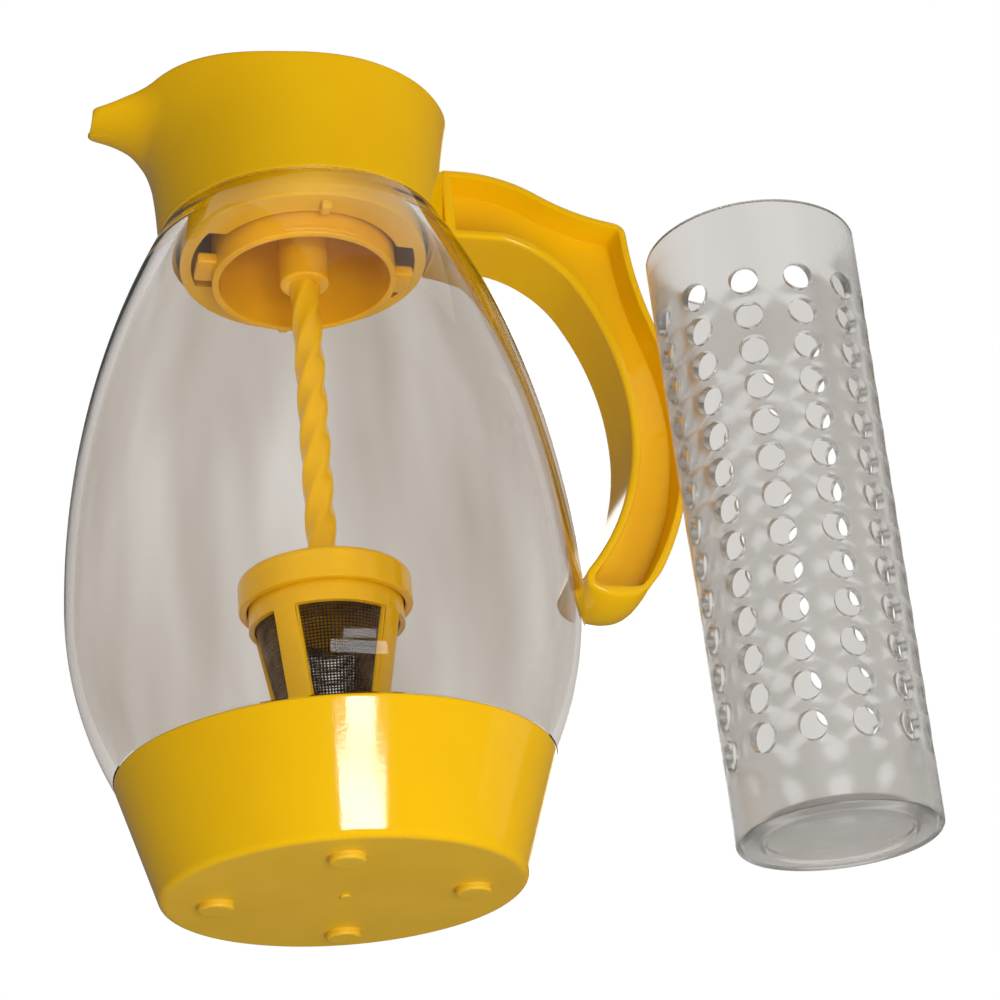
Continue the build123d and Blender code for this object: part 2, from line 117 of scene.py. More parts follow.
def rounded(corners: Sequence[Corner], closed: bool = False, steps: int = 4) -> list[Flat]:
    """Rounds the corners of an outline, with a point beside each bend that keeps the straight runs flat.

    Args:
        corners: Points as across, up and corner radius, where 0 keeps a corner sharp.
        closed: Whether the outline returns to its first corner.
        steps: Straight pieces in each rounded corner.

    Returns:
        The points of the outline.
    """
    points: list[Flat] = []
    count = len(corners)
    for index, (across, up, radius) in enumerate(corners):
        if radius == 0 or not closed and index in (0, count - 1):
            points.append((across, up))
            continue
        here = Vector((across, up))
        runs = [Vector(corners[near % count][:2]) - here for near in (index - 1, index + 1)]
        reach = min(radius / tan(runs[0].angle(runs[1]) / 2), *(LONGEST_BEND * run.length for run in runs))
        start, end = (here + run.normalized() * reach for run in runs)
        holds = [min(HOLD, HOLD_SHARE * ((1 - LONGEST_BEND) * run.length - reach)) for run in runs]
        before, after = (here + run.normalized() * (reach + hold) for run, hold in zip(runs, holds))
        bend = tangent_arc(tuple(start), tuple(end), tuple(-runs[0]), steps)
        points += [tuple(before), *bend, tuple(after)]
    return points


def peg(radius: float, low: float, high: float, low_bend: float = 0, high_bend: float = 0) -> list[Flat]:
    """Half section of a round peg on the axis, with its lower and upper edges rounded."""
    return rounded([(0, low, 0), (radius, low, low_bend), (radius, high, high_bend), (0, high, 0)])


def soften_corner(path: Sequence[Flat], corner: Flat, reach: float, steps: int = 8) -> list[Flat]:
    """Swaps one corner of a fine line of points for a smooth bend.

    Args:
        path: The line of points.
        corner: The point to soften, which is one of them.
        reach: How far the bend starts and ends from the corner.
        steps: Straight pieces in the bend.

    Returns:
        The line with the bend in it.
    """
    gaps = [(Vector(point) - Vector(corner)).length for point in path]
    middle = gaps.index(min(gaps))
    first = next(index for index in range(middle, -1, -1) if gaps[index] >= reach)
    last = next(index for index in range(middle, len(path)) if gaps[index] >= reach)
    start, peak, end = Vector(path[first]), Vector(corner), Vector(path[last])
    shares = [step / steps for step in range(1, steps)]
    bend = [tuple(start * (1 - s) ** 2 + peak * 2 * s * (1 - s) + end * s**2) for s in shares]
    return [*path[: first + 1], *bend, *path[last:]]


def offset_inwards(path: Sequence[Flat], amount: float) -> list[Flat]:
    """Moves a closed clockwise line of points inwards by an even amount."""
    moved = []
    for index, here in enumerate(path):
        back = (Vector(here) - Vector(path[index - 1])).normalized()
        ahead = (Vector(path[(index + 1) % len(path)]) - Vector(here)).normalized()
        forward = (back + ahead).normalized()
        inwards = Vector((forward.y, -forward.x)) / max(forward.dot(ahead), 0.5)
        moved.append(tuple(Vector(here) + inwards * amount))
    return moved


def smooth_step(share: float) -> float:
    """Eases a share from 0 to 1 with level ends."""
    share = min(max(share, 0.0), 1.0)
    return share * share * (3 - 2 * share)


def through(stops: Place, values: Place, place: float) -> float:
    """Value at a place on the parabola through three stops."""
    low, middle, high = stops
    first, second, third = values
    result = first * (place - middle) * (place - high) / ((low - middle) * (low - high))
    result += second * (place - low) * (place - high) / ((middle - low) * (middle - high))
    return result + third * (place - low) * (place - middle) / ((high - low) * (high - middle))


def along(path: Sequence[Flat], share: float) -> Flat:
    """Point at a share of a path's length."""
    lengths = [hypot(b[0] - a[0], b[1] - a[1]) for a, b in zip(path, path[1:])]
    left = min(max(share, 0.0), 1.0) * sum(lengths)
    for (a, b), length in zip(zip(path, path[1:]), lengths):
        if left <= length and length > 0:
            return a[0] + (b[0] - a[0]) * left / length, a[1] + (b[1] - a[1]) * left / length
        left -= length
    return path[-1]


def soft_least(one: float, other: float, blend: float) -> float:
    """The lesser of two values, with a smooth change from one to the other."""
    share = min(max(0.5 + 0.5 * (other - one) / blend, 0.0), 1.0)
    return other * (1 - share) + one * share - blend * share * (1 - share)


def soft_most(one: float, other: float, blend: float) -> float:
    """The greater of two values, with a smooth change from one to the other."""
    return -soft_least(-one, -other, blend)


class Bench:
    """The modelling moves that the sub-assemblies share."""

    @staticmethod
    def clear() -> None:
        """Goes back to object mode with nothing selected."""
        if bpy.context.mode != "OBJECT":
            bpy.ops.object.mode_set(mode="OBJECT")
        bpy.ops.object.select_all(action="DESELECT")

    @staticmethod
    def hold(piece: Piece) -> None:
        """Makes one piece the only selected and active one."""
        Bench.clear()
        piece.select_set(True)
        bpy.context.view_layer.objects.active = piece

    @staticmethod
    def edit(piece: Piece) -> None:
        """Opens a piece in edit mode, all selected."""
        Bench.hold(piece)
        bpy.ops.object.mode_set(mode="EDIT")
        bpy.ops.mesh.select_all(action="SELECT")

    @staticmethod
    def open(name: str) -> Piece:
        """Names the primitive just added and opens it in edit mode, all its points selected."""
        piece = bpy.context.object
        piece.name = piece.data.name = name
        bpy.context.tool_settings.mesh_select_mode = (True, False, False)
        Bench.edit(piece)
        return piece

    @staticmethod
    def weld() -> None:
        """Merges the doubled points of the open piece and turns its faces outwards."""
        bpy.ops.mesh.select_all(action="SELECT")
        bpy.ops.mesh.remove_doubles(threshold=WELD)
        bpy.ops.mesh.normals_make_consistent(inside=False)

    @staticmethod
    def mend(piece: Piece) -> None:
        """Welds a piece whose points have been moved."""
        Bench.edit(piece)
        Bench.weld()
        Bench.clear()

    @staticmethod
    def trace(name: str, path: Sequence[Vector], closed: bool) -> Piece:
        """Draws a chain of edges by extruding one point along a path.

        Args:
            name: Name of the new piece.
            path: Points of the chain.
            closed: Whether the chain returns to its first point.

        Returns:
            The piece, left in edit mode with the chain selected.
        """
        Bench.clear()
        bpy.ops.mesh.primitive_plane_add(size=MM, location=(0, 0, 0))
        piece = Bench.open(name)
        bpy.ops.mesh.merge(type="CENTER")
        bpy.ops.transform.translate(value=path[0] * MM)
        stops = list(path) + [path[0]] * closed
        for here, there in zip(stops, stops[1:]):
            bpy.ops.mesh.extrude_vertices_move(TRANSFORM_OT_translate={"value": (there - here) * MM})
        bpy.ops.mesh.select_all(action="SELECT")
        bpy.ops.mesh.remove_doubles(threshold=WELD)
        return piece

    @staticmethod
    def turn(
        name: str,
        outline: Sequence[Flat],
        steps: int | Sequence[tuple[float, int]],
        closed: bool = False,
        start: float = 0.0,
    ) -> Piece:
        """Spins an outline about the pitcher's axis.

        Args:
            name: Name of the new piece.
            outline: Points as radius and height.
            steps: Steps of a full turn, or the stretches of a turn, each as degrees and steps.
            closed: Whether the outline is a closed ring.
            start: Angle about the axis where the turn starts; it goes clockwise seen from above.

        Returns:
            The piece, in object mode.
        """
        stretches = [(360.0, steps)] if isinstance(steps, int) else steps
        out = Vector((cos(radians(start)), sin(radians(start)), 0))
        piece = Bench.trace(name, [out * radius + Vector((0, 0, up)) for radius, up in outline], closed)
        for sweep, count in stretches:
            bpy.ops.mesh.spin(steps=count, angle=radians(sweep), center=(0, 0, 0), axis=(0, 0, 1))
        Bench.weld()
        if sum(sweep for sweep, _ in stretches) < 360:
            bpy.ops.mesh.fill_holes(sides=0)
            Bench.weld()
        Bench.clear()
        return piece

    @staticmethod
    def block(name: str, low: Place, high: Place) -> Piece:
        """Shapes a cube to fill the space between two corners."""
        Bench.clear()
        bpy.ops.mesh.primitive_cube_add(size=MM, location=(0, 0, 0))
        piece = Bench.open(name)
        bpy.ops.transform.resize(value=Vector(high) - Vector(low), center_override=(0, 0, 0))
        bpy.ops.transform.translate(value=(Vector(low) + Vector(high)) / 2 * MM)
        Bench.clear()
        return piece

    @staticmethod
    def pick_faces(piece: Piece, wanted: Callable[[bpy.types.MeshPolygon], bool]) -> None:
        """Selects the faces that pass a test, and opens the piece in edit mode."""
        Bench.hold(piece)
        bpy.context.tool_settings.mesh_select_mode = (False, False, True)
        for part in (piece.data.vertices, piece.data.edges):
            part.foreach_set("select", [False] * len(part))
        for face in piece.data.polygons:
            face.select = wanted(face)
        bpy.ops.object.mode_set(mode="EDIT")

    @staticmethod
    def pick_edges(piece: Piece, wanted: Callable[[float, float], bool]) -> None:
        """Selects the edges whose ends' heights pass a test, and opens the piece in edit mode."""
        Bench.hold(piece)
        bpy.context.tool_settings.mesh_select_mode = (False, True, False)
        heights = [vertex.co.z / MM for vertex in piece.data.vertices]
        for part in (piece.data.vertices, piece.data.polygons):
            part.foreach_set("select", [False] * len(part))
        for edge in piece.data.edges:
            edge.select = wanted(*(heights[index] for index in edge.vertices))
        bpy.ops.object.mode_set(mode="EDIT")

    @staticmethod
    def apply(piece: Piece, kind: str, **settings: object) -> None:
        """Adds a modifier of a kind with its settings to a piece, and applies it."""
        modifier = piece.modifiers.new(kind.lower(), kind)
        for name, value in settings.items():
            setattr(modifier, name, value)
        Bench.hold(piece)
        bpy.ops.object.modifier_apply(modifier=modifier.name)

    @staticmethod
    def cut(piece: Piece, tool: Piece) -> None:
        """Cuts a tool out of a piece, and removes the tool."""
        Bench.apply(piece, "BOOLEAN", operation="DIFFERENCE", object=tool, solver="EXACT")
        bpy.data.objects.remove(tool)

    @staticmethod
    def soften(piece: Piece, width: float, segments: int = 3, angle: float = 40.0) -> None:
        """Rounds the edges of a piece that are sharper than an angle."""
        Bench.apply(
            piece, "BEVEL", width=width * MM, segments=segments, limit_method="ANGLE",
            angle_limit=radians(angle), use_clamp_overlap=False, miter_outer="MITER_ARC",
        )

    @staticmethod
    def rotate(piece: Piece, turn: float) -> None:
        """Turns a piece's mesh about the pitcher's axis by some degrees."""
        piece.data.transform(Matrix.Rotation(radians(turn), 4, "Z"))

    @staticmethod
    def copy(piece: Piece, name: str, turn: float) -> Piece:
        """Copies a piece with its own mesh, turned about the pitcher's axis by some degrees."""
        twin = piece.copy()
        twin.data = piece.data.copy()
        twin.name = twin.data.name = name
        bpy.context.scene.collection.objects.link(twin)
        Bench.rotate(twin, turn)
        return twin

    @staticmethod
    def finish(piece: Piece, material: Material, body: Body, slot: Slot, *nodes: str) -> None:
        """Smooths and dresses a piece and ties it to its body.

        Args:
            piece: The modelled piece.
            material: Its finish.
            body: The CAD body that it rides on.
            slot: The record's slot that the finish stands for; not used.
            nodes: The CAD nodes that it stands for.
        """
        Bench.hold(piece)
        bpy.ops.object.shade_smooth_by_angle(angle=radians(SMOOTH_ANGLE))
        piece.data.materials.clear()
        piece.data.materials.append(material)
        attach(piece, body.value)
        if nodes:
            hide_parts(*nodes)
        LOG.info("%s rides on %s with %d faces", piece.name, body.value, len(piece.data.polygons))


class Wiring:
    """A node tree and short ways to fill it."""

    def __init__(self, tree: bpy.types.NodeTree) -> None:
        """Empties the tree."""
        self.tree = tree
        tree.nodes.clear()

    def feed(self, socket: Socket, value: object) -> None:
        """Links a socket into an input, or sets the input's own value."""
        if isinstance(value, Socket):
            self.tree.links.new(value, socket)
        else:
            socket.default_value = value

    def add(self, kind: str, **values: object) -> bpy.types.Node:
        """Adds a node.

        Args:
            kind: Blender's name of the node, without the part that all shader nodes share.
            values: Values or sockets for its inputs, with _ for a space in the input's name.

        Returns:
            The node.
        """
        node = self.tree.nodes.new("ShaderNode" + kind)
        for name, value in values.items():
            self.feed(node.inputs[name.replace("_", " ")], value)
        return node

    def join(self, kind: str, inputs: dict[int, object], output: int = 0, **settings: str) -> Socket:
        """Adds a node whose inputs have no names of their own.

        Args:
            kind: Blender's name of the node, as in add.
            inputs: Values or sockets by the input's number.
            output: Number of the output to return.
            settings: The node's own settings.

        Returns:
            The output.
        """
        node = self.add(kind)
        for name, value in settings.items():
            setattr(node, name, value)
        for number, value in inputs.items():
            self.feed(node.inputs[number], value)
        return node.outputs[output]

    def math(self, way: str, one: object, other: object) -> Socket:
        """The result of a sum on two values or sockets."""
        return self.join("Math", {0: one, 1: other}, operation=way)

    def mix(self, share: object, one: object, other: object) -> Socket:
        """A colour between two colours."""
        colours = [value if isinstance(value, Socket) else (*value, 1.0) for value in (one, other)]
        return self.join("Mix", {0: share, 6: colours[0], 7: colours[1]}, 2, data_type="RGBA")

    def either(self, share: object, one: bpy.types.Node, other: bpy.types.Node) -> Socket:
        """A mix of two shaders."""
        return self.join("MixShader", {0: share, 1: one.outputs[0], 2: other.outputs[0]})

    def span(self, value: object, low: float, high: float, start: float = 0.0, end: float = 1.0) -> Socket:
        """Maps the range low to high onto start to end."""
        node = self.add("MapRange", Value=value, From_Min=low, From_Max=high, To_Min=start, To_Max=end)
        return node.outputs[0]


class SkinGroup:
    """The shader node group for a moulded surface: patches, grain, hairline scuffs and upright streaks."""

    NAME = "moulded skin"
    SOCKETS = {
        "INPUT": ("Patch Scale", "Grain Scale", "Scuff Scale"),
        "OUTPUT": ("Patch", "Grain", "Scuff", "Streak"),
    }
    SCUFF_STRETCH = (1.0, 1.0, 0.07)
    SCUFF_TURN = (0.5, 0.35, 0.0)
    STREAK_STRETCH = (1.0, 1.0, 0.09)

    def __init__(self) -> None:
        """Builds the group once."""
        self.group = bpy.data.node_groups.new(self.NAME, "ShaderNodeTree")
        for side, names in self.SOCKETS.items():
            for name in names:
                self.group.interface.new_socket(name, in_out=side, socket_type="NodeSocketFloat")
        plan = Wiring(self.group)
        scales = self.group.nodes.new("NodeGroupInput").outputs
        ends = self.group.nodes.new("NodeGroupOutput").inputs
        place = plan.add("TexCoord").outputs["Object"]
        drawn = plan.add("Mapping", Vector=place, Rotation=self.SCUFF_TURN, Scale=self.SCUFF_STRETCH)
        upright = plan.add("Mapping", Vector=place, Scale=self.STREAK_STRETCH)
        patch = plan.add("TexNoise", Vector=place, Scale=scales[0], Detail=3.0, Roughness=0.55)
        grain = plan.add("TexNoise", Vector=place, Scale=scales[1], Detail=2.0, Roughness=0.6)
        lines = plan.add("TexNoise", Vector=drawn.outputs[0], Scale=scales[2], Detail=4.0, Roughness=0.7)
        bands = plan.add("TexNoise", Vector=upright.outputs[0], Scale=scales[0], Detail=2.0, Roughness=0.5)
        plan.feed(ends[0], plan.span(patch.outputs[0], 0.3, 0.7))
        plan.feed(ends[1], grain.outputs[0])
        plan.feed(ends[2], plan.span(lines.outputs[0], 0.6, 0.74))
        plan.feed(ends[3], plan.span(bands.outputs[0], 0.35, 0.65))

    def place(self, plan: Wiring, scales: Sequence[float]) -> list[Socket]:
        """Puts the group in a material.

        Args:
            plan: The material's nodes.
            scales: Scales of patches, grain and scuffs, in repeats per metre.

        Returns:
            The patch, grain, scuff and streak sockets.
        """
        node = plan.add("Group")
        node.node_tree = self.group
        for socket, scale in zip(node.inputs, scales):
            socket.default_value = scale
        return list(node.outputs)


def new_material(name: str) -> tuple[Material, Wiring]:
    """A new material with an empty node tree."""
    material = bpy.data.materials.new(name)
    material.use_nodes = True
    return material, Wiring(material.node_tree)


@dataclass(frozen=True)
class SolidFinish:
    """A finish for moulded plastic, rubber or steel.

    Attributes:
        name: Name of the material.
        colour: Main colour.
        patch_colour: Colour that soft patches lean to.
        roughness: Roughness of the clean surface.
        scuffing: How much rougher the scuffs are.
        unevenness: Share by which the patches change the roughness.
        metallic: 1 for metal.
        relief: Strength of the fine grain's bump.
        relief_depth: Height of the grain in millimetres.
        scales: Patches, grain and scuffs per metre.
        glow: How much of the light spreads under the surface.
        glow_radius: How far each colour spreads, as shares of glow_depth.
        glow_depth: How far light spreads, in millimetres.
        ior: Index of refraction, which sets the strength of the shine.
    """

    name: str
    colour: Colour
    patch_colour: Colour
    roughness: float
    scuffing: float = 0.12
    unevenness: float = 0.15
    metallic: float = 0.0
    relief: float = 0.06
    relief_depth: float = 0.3
    scales: Place = (22.0, 900.0, 160.0)
    glow: float = 0.0
    glow_radius: Place = (1.0, 0.6, 0.1)
    glow_depth: float = 2.0
    ior: float = 1.4

    def material(self, skin: SkinGroup) -> Material:
        """Builds the material around the shared skin group."""
        material, plan = new_material(self.name)
        patch, grain, scuff, _ = skin.place(plan, self.scales)
        worn = plan.math("MULTIPLY", scuff, self.scuffing)
        low, high = (self.roughness * (1 + sign * self.unevenness) for sign in (-1, 1))
        bump = plan.add("Bump", Strength=self.relief, Distance=self.relief_depth * MM, Height=grain)
        shader = plan.add(
            "BsdfPrincipled",
            Base_Color=plan.mix(patch, self.colour, self.patch_colour),
            Roughness=plan.math("ADD", plan.span(patch, 0.0, 1.0, low, high), worn),
            Metallic=self.metallic,
            IOR=self.ior,
            Normal=bump.outputs[0],
            Subsurface_Weight=self.glow,
            Subsurface_Radius=self.glow_radius,
            Subsurface_Scale=self.glow_depth * MM,
        )
        plan.add("OutputMaterial", Surface=shader.outputs[0])
        return material


@dataclass(frozen=True)
class ClearFinish:
    """A finish for clear moulded plastic.

    Attributes:
        name: Name of the material.
        colour: Colour of the plastic where it is clearest.
        streak_colour: Colour of its upright streaks.
        density: How strongly thick stretches darken, per metre.
        ior: Index of refraction.
        roughness: Roughness of the clean surface.
        scuffing: How much rougher the scuffs are.
        ripple: Strength of the long moulding ripples.
        ripple_depth: Height of the ripples in millimetres.
        scales: Streaks, grain and scuffs per metre.
        shade: Colour of the lamp light that comes through.
    """

    name: str
    colour: Colour
    streak_colour: Colour
    density: float
    ior: float
    roughness: float = 0.015
    scuffing: float = 0.08
    ripple: float = 0.03
    ripple_depth: float = 1.0
    scales: Place = (34.0, 320.0, 120.0)
    shade: Colour = (0.95, 0.94, 0.93)

    def material(self, skin: SkinGroup) -> Material:
        """Builds the material: a clear shader that lets lamp light through to what is inside."""
        material, plan = new_material(self.name)
        _, _, scuff, streak = skin.place(plan, self.scales)
        worn = plan.math("MULTIPLY", scuff, self.scuffing)
        bump = plan.add("Bump", Strength=self.ripple, Distance=self.ripple_depth * MM, Height=streak)
        shader = plan.add(
            "BsdfPrincipled",
            Base_Color=plan.mix(streak, self.colour, self.streak_colour),
            Roughness=plan.math("ADD", worn, self.roughness),
            IOR=self.ior,
            Normal=bump.outputs[0],
            Transmission_Weight=1.0,
        )
        lamp_light = plan.add("BsdfTransparent", Color=(*self.shade, 1.0))
        shadow_ray = plan.add("LightPath").outputs["Is Shadow Ray"]
        inside = plan.add("VolumeAbsorption", Color=(*self.colour, 1.0), Density=self.density)
        either = plan.either(shadow_ray, shader, lamp_light)
        plan.add("OutputMaterial", Surface=either, Volume=inside.outputs[0])
        return material


class Finishes:
    """The materials of the part, each built once."""

    def __init__(self) -> None:
        """Builds every material."""
        skin = SkinGroup()
        self.gloss = SolidFinish(
            "yellow gloss plastic", (0.87, 0.50, 0.002), (0.83, 0.455, 0.0015), 0.09, glow=0.04, ior=1.45
        ).material(skin)
        # Painted light: a brighter, more orange copy of the yellow gloss with more glow under its surface,
        # for the lid and its parts. They sit inside the clear body, where little lamp light and bounce
        # reach them.
        self.lid_painted_light_gloss = SolidFinish(
            "yellow gloss with painted light", (0.89, 0.48, 0.002), (0.85, 0.44, 0.0015), 0.12, glow=0.26, ior=1.45
        ).material(skin)
        # The matte underside's yellow, with a pale blue share that is painted sheen: the whitish haze of
        # light on its rough surface, put into the colour.
        self.matte = SolidFinish(
            "yellow moulded underside", (0.80, 0.475, 0.02), (0.72, 0.42, 0.02), 0.42, relief=0.2,
            scales=(30.0, 1500.0, 200.0),
        ).material(skin)
        self.rubber = SolidFinish(
            "pale silicone", (0.74, 0.73, 0.70), (0.66, 0.65, 0.62), 0.55, relief=0.1
        ).material(skin)
        self.steel = SolidFinish(
            "steel wire", (0.30, 0.23, 0.16), (0.12, 0.08, 0.05), 0.36, metallic=1.0, relief=0.2,
            scales=(160.0, 2600.0, 700.0),
        ).material(skin)
        self.clear = ClearFinish(
            "clear body plastic", (0.83, 0.81, 0.785), (0.66, 0.62, 0.575), 5.0, 1.18
        ).material(skin)
        self.core = ClearFinish(
            "clear core plastic", (0.70, 0.685, 0.665), (0.61, 0.595, 0.57), 6.0, 1.28, roughness=0.22,
            ripple=0.02,
        ).material(skin)


@dataclass
class BaseCup:
    """The yellow cup under the clear body, with its moulded feet and gate mark."""

    foot_height: float = 2.0
    foot_radius: float = 5.0
    foot_edge: float = 0.7
    foot_circle: float = 35.4
    foot_turn: float = -11.0
    foot_count: int = 4
    sunk: float = 0.4
    gate_radius: float = 1.5
    gate_height: float = 0.6
    gate_edge: float = 0.3
    bottom_radius: float = 50.6
    rim_radius: float = 62.4
    rim_height: float = 37.3
    wall: float = 2.6
    floor: float = 3.0

    def side(self, up: float) -> float:
        """Outer radius of the cup's side at a height."""
        share = (up - self.foot_height) / (self.rim_height - self.foot_height)
        return self.bottom_radius + share * (self.rim_radius - self.bottom_radius)

    def outline(self) -> list[Flat]:
        """Half section of the cup, from the axis below to the axis above."""
        floor_top = self.foot_height + self.floor
        corners = [
            (0, self.foot_height, 0),
            (self.bottom_radius, self.foot_height, 2.5),
            (self.rim_radius, self.rim_height, 0.5),
            (self.rim_radius - self.wall, self.rim_height, 0.4),
            (self.side(floor_top) - self.wall, floor_top, 1.5),
            (0, floor_top, 0),
        ]
        return rounded(corners, steps=6)

    def build(self, looks: Finishes) -> None:
        """Models the cup, its feet and the gate mark."""
        cup = Bench.turn("base_shell", self.outline(), 192)
        Bench.finish(cup, looks.gloss, Body.PITCHER, Slot.YELLOW, "base_cup")
        cup.data.materials.append(looks.matte)
        for face in cup.data.polygons:
            face.material_index = int(face.normal.z < -LEVEL)
        top = self.foot_height + self.sunk
        foot = Bench.turn("base_foot_1", peg(self.foot_radius, 0, top, self.foot_edge), 48)
        foot.data.transform(Matrix.Translation((self.foot_circle * MM, 0, 0)))
        Bench.rotate(foot, self.foot_turn)
        pieces = [foot]
        for index in range(1, self.foot_count):
            pieces.append(Bench.copy(foot, f"base_foot_{index + 1}", 360 * index / self.foot_count))
        nub = peg(self.gate_radius, self.foot_height - self.gate_height, top, self.gate_edge)
        pieces.append(Bench.turn("base_gate_mark", nub, 24))
        for piece in pieces:
            Bench.finish(piece, looks.matte, Body.PITCHER, Slot.YELLOW)


@dataclass
class ClearBody:
    """The clear jug body with its plain neck."""

    bottom: float = 5.3
    foot_radius: float = 48.8
    ledge_radius: float = 59.5
    ledge_height: float = 37.3
    ledge_reach: float = 62.4
    belly_radius: float = 74.9
    belly_height: float = 88.0
    shoulder_radius: float = 44.5
    shoulder_height: float = 211.8
    neck_radius: float = 41.8
    neck_bore: float = 39.2
    neck_top: float = 224.0
    neck_edge: float = 0.6
    wall: float = 2.8
    seam: float = 0.12
    under_steps: int = 20
    over_steps: int = 44

    def outline(self) -> list[Flat]:
        """Half section of the wall, from the axis below, up outside and down inside."""
        low, ledge = self.bottom, self.ledge_height + self.seam
        shoulder = self.shoulder_height - self.seam
        ledge_inside = self.ledge_radius - self.wall
        belly = (self.belly_radius, self.belly_height)
        belly_inside = (self.belly_radius - self.wall, self.belly_height)
        under = tangent_arc(belly, (self.ledge_reach, ledge), (0, -1), self.under_steps)[::-1]
        over = tangent_arc(belly, (self.shoulder_radius, shoulder), (0, 1), self.over_steps)
        over_inside = tangent_arc(belly_inside, (self.neck_bore, shoulder), (0, 1), self.over_steps)[::-1]
        under_inside = tangent_arc(belly_inside, (ledge_inside, ledge), (0, -1), self.under_steps)
        foot = rounded([
            (0, low, 0),
            (self.foot_radius, low, 2.0),
            (self.ledge_radius, self.ledge_height, 0),
            (self.ledge_radius, ledge, 0),
        ])
        neck = rounded([
            (self.neck_radius, shoulder, 0),
            (self.neck_radius, self.neck_top, self.neck_edge),
            (self.neck_bore, self.neck_top, self.neck_edge),
            (self.neck_bore, shoulder, 0),
        ])
        inner_foot = (self.foot_radius - self.wall, low + self.wall, 4.0)
        floor = rounded([(ledge_inside, ledge, 0), inner_foot, (0, low + self.wall, 0)], steps=6)
        return foot + under + over[1:] + neck + over_inside[1:] + under_inside[1:] + floor[1:]

    def build(self, looks: Finishes) -> None:
        """Models the body."""
        body = Bench.turn("clear_body_shell", self.outline(), 224)
        Bench.finish(body, looks.clear, Body.PITCHER, Slot.CLEAR, "clear_body")


@dataclass
class PourCollar:
    """The yellow collar: outer wall with the spout, ledge, sleeve and notched floor."""

    bottom: float = 211.8
    bottom_edge: float = 0.4
    top: float = 250.0
    bottom_radius: float = 44.5
    top_radius: float = 48.6
    bore: float = 42.1
    lid_bore: float = 45.13
    seat: float = 241.8
    seat_bore: float = 42.83
    ledge_top: float = 228.6
    ledge_bottom: float = 226.2
    sleeve: float = 38.9
    sleeve_bore: float = 36.9
    floor_bottom: float = 204.0
    floor_top: float = 206.4
    floor_bore: float = 30.2
    notch_radius: float = 35.2
    notch_half_width: float = 15.0
    stop_size: Place = (4.0, 3.0, 2.6)
    stop_sunk: float = 0.3
    stop_edge: float = 0.5
    rim_rise: float = 4.2
    rim_rise_start: float = 8.0
    rim_peak: float = 50.0
    rim_tip: float = 252.0
    rim_depth: float = 1.6
    rim_edge: float = 0.9
    still_outside: float = 236.0
    still_inside: float = 242.6
    flare: float = 4.0
    flare_bottom: float = 232.0
    flare_top: float = 256.2
    spout_reach: float = 64.8
    spout_root: float = 34.0
    spout_stops: Place = (46.0, 55.0, 64.8)
    spout_half_widths: Place = (19.6, 13.6, 8.2)
    spout_wall: float = 2.2
    spout_half_turn: float = 62.0
    spout_tip_half_turn: float = 10.0
    keel: float = 248.3
    keel_bend: float = 61.0
    keel_curve: float = 0.027
    lip: float = 1.3
    lip_dip: float = 1.7
    lip_half_width: float = 5.8
    lip_fullness: float = 0.75
    tip_blend: float = 2.6
    corner_blend: float = 3.4
    root_turn: float = 15.0
    root_lean: float = 0.85
    root_fade: float = 8.0
    shaped_from: float = 233.0
    shaped_to: float = 248.4
    wall_rows: int = 9
    wall_row: float = 2.2
    shaped_rows: int = 30
    room_rows: int = 20
    below_rows: int = 8
    below_row: float = 1.2
    profile_steps: int = 70
    search_past: float = 9.0
    search_step: float = 0.5
    search_halvings: int = 7

    def wall(self, up: float) -> float:
        """Outer radius of the flared wall at a height."""
        share = (up - self.bottom) / (self.top - self.bottom)
        return self.bottom_radius + share**2 * (self.top_radius - self.bottom_radius)

    def outline(self) -> list[Flat]:
        """Closed section of the collar, up the outer wall and down the inside."""
        foot, room_top = self.bottom + self.bottom_edge, self.top - self.rim_depth
        shaped = self.shaped_to - self.shaped_from
        heights = [foot + row * self.wall_row for row in range(self.wall_rows)]
        shares = [row / self.shaped_rows for row in range(self.shaped_rows + 1)]
        heights += [self.shaped_from + share * shaped for share in shares]
        outside = [(self.wall(up), up) for up in heights]
        rim = rounded([
            (*outside[-1], 0),
            (self.top_radius, self.top, self.rim_edge),
            (self.lid_bore, self.top, self.rim_edge),
            (self.lid_bore, room_top, 0),
        ])
        room_row = (room_top - self.seat) / self.room_rows
        room = [(self.lid_bore, room_top - row * room_row) for row in range(1, self.room_rows)]
        seat = [(self.lid_bore, self.seat), (self.seat_bore, self.seat)]
        below_top = self.seat - self.below_row / 2
        below = [(self.seat_bore, below_top - row * self.below_row) for row in range(self.below_rows)]
        inside = rounded([
            (*below[-1], 0),
            (self.seat_bore, self.ledge_top, 0.8),
            (self.sleeve_bore, self.ledge_top, 0.6),
            (self.sleeve_bore, self.floor_top, 0.8),
            (self.floor_bore, self.floor_top, 0.4),
            (self.floor_bore, self.floor_bottom, 0.4),
            (self.sleeve, self.floor_bottom, 0.6),
            (self.sleeve, self.ledge_bottom, 0),
            (self.bore, self.ledge_bottom, 0),
            (self.bore, self.bottom, 0.3),
            (self.bottom_radius, self.bottom, self.bottom_edge),
            (self.bottom_radius, foot, 0),
        ])
        return outside + rim[1:] + room + seat + below + inside[1:-1]

    def rim_line(self, reach: float) -> float:
        """Height of the rim at a distance from the axis towards the spout."""
        climb = smooth_step((reach - self.rim_rise_start) / (self.rim_peak - self.rim_rise_start))
        drop = smooth_step((reach - self.rim_peak) / (self.spout_reach - self.rim_peak))
        return self.top + self.rim_rise * climb - (self.top + self.rim_rise - self.rim_tip) * drop

    def spout_room(self, reach: float, up: float, inset: float) -> float:
        """Half width of the spout at a distance from the axis and a height, or less than 0 below it."""
        bottom = self.keel - self.keel_curve * max(self.keel_bend - reach, 0.0) ** 2 + inset
        if up <= bottom:
            return up - bottom
        crest = self.rim_line(reach)
        share = min(max((crest - up) / max(crest - bottom, 1.0), 0.0), 1.0)
        return (through(self.spout_stops, self.spout_half_widths, reach) - inset) * sqrt(1 - share**2)

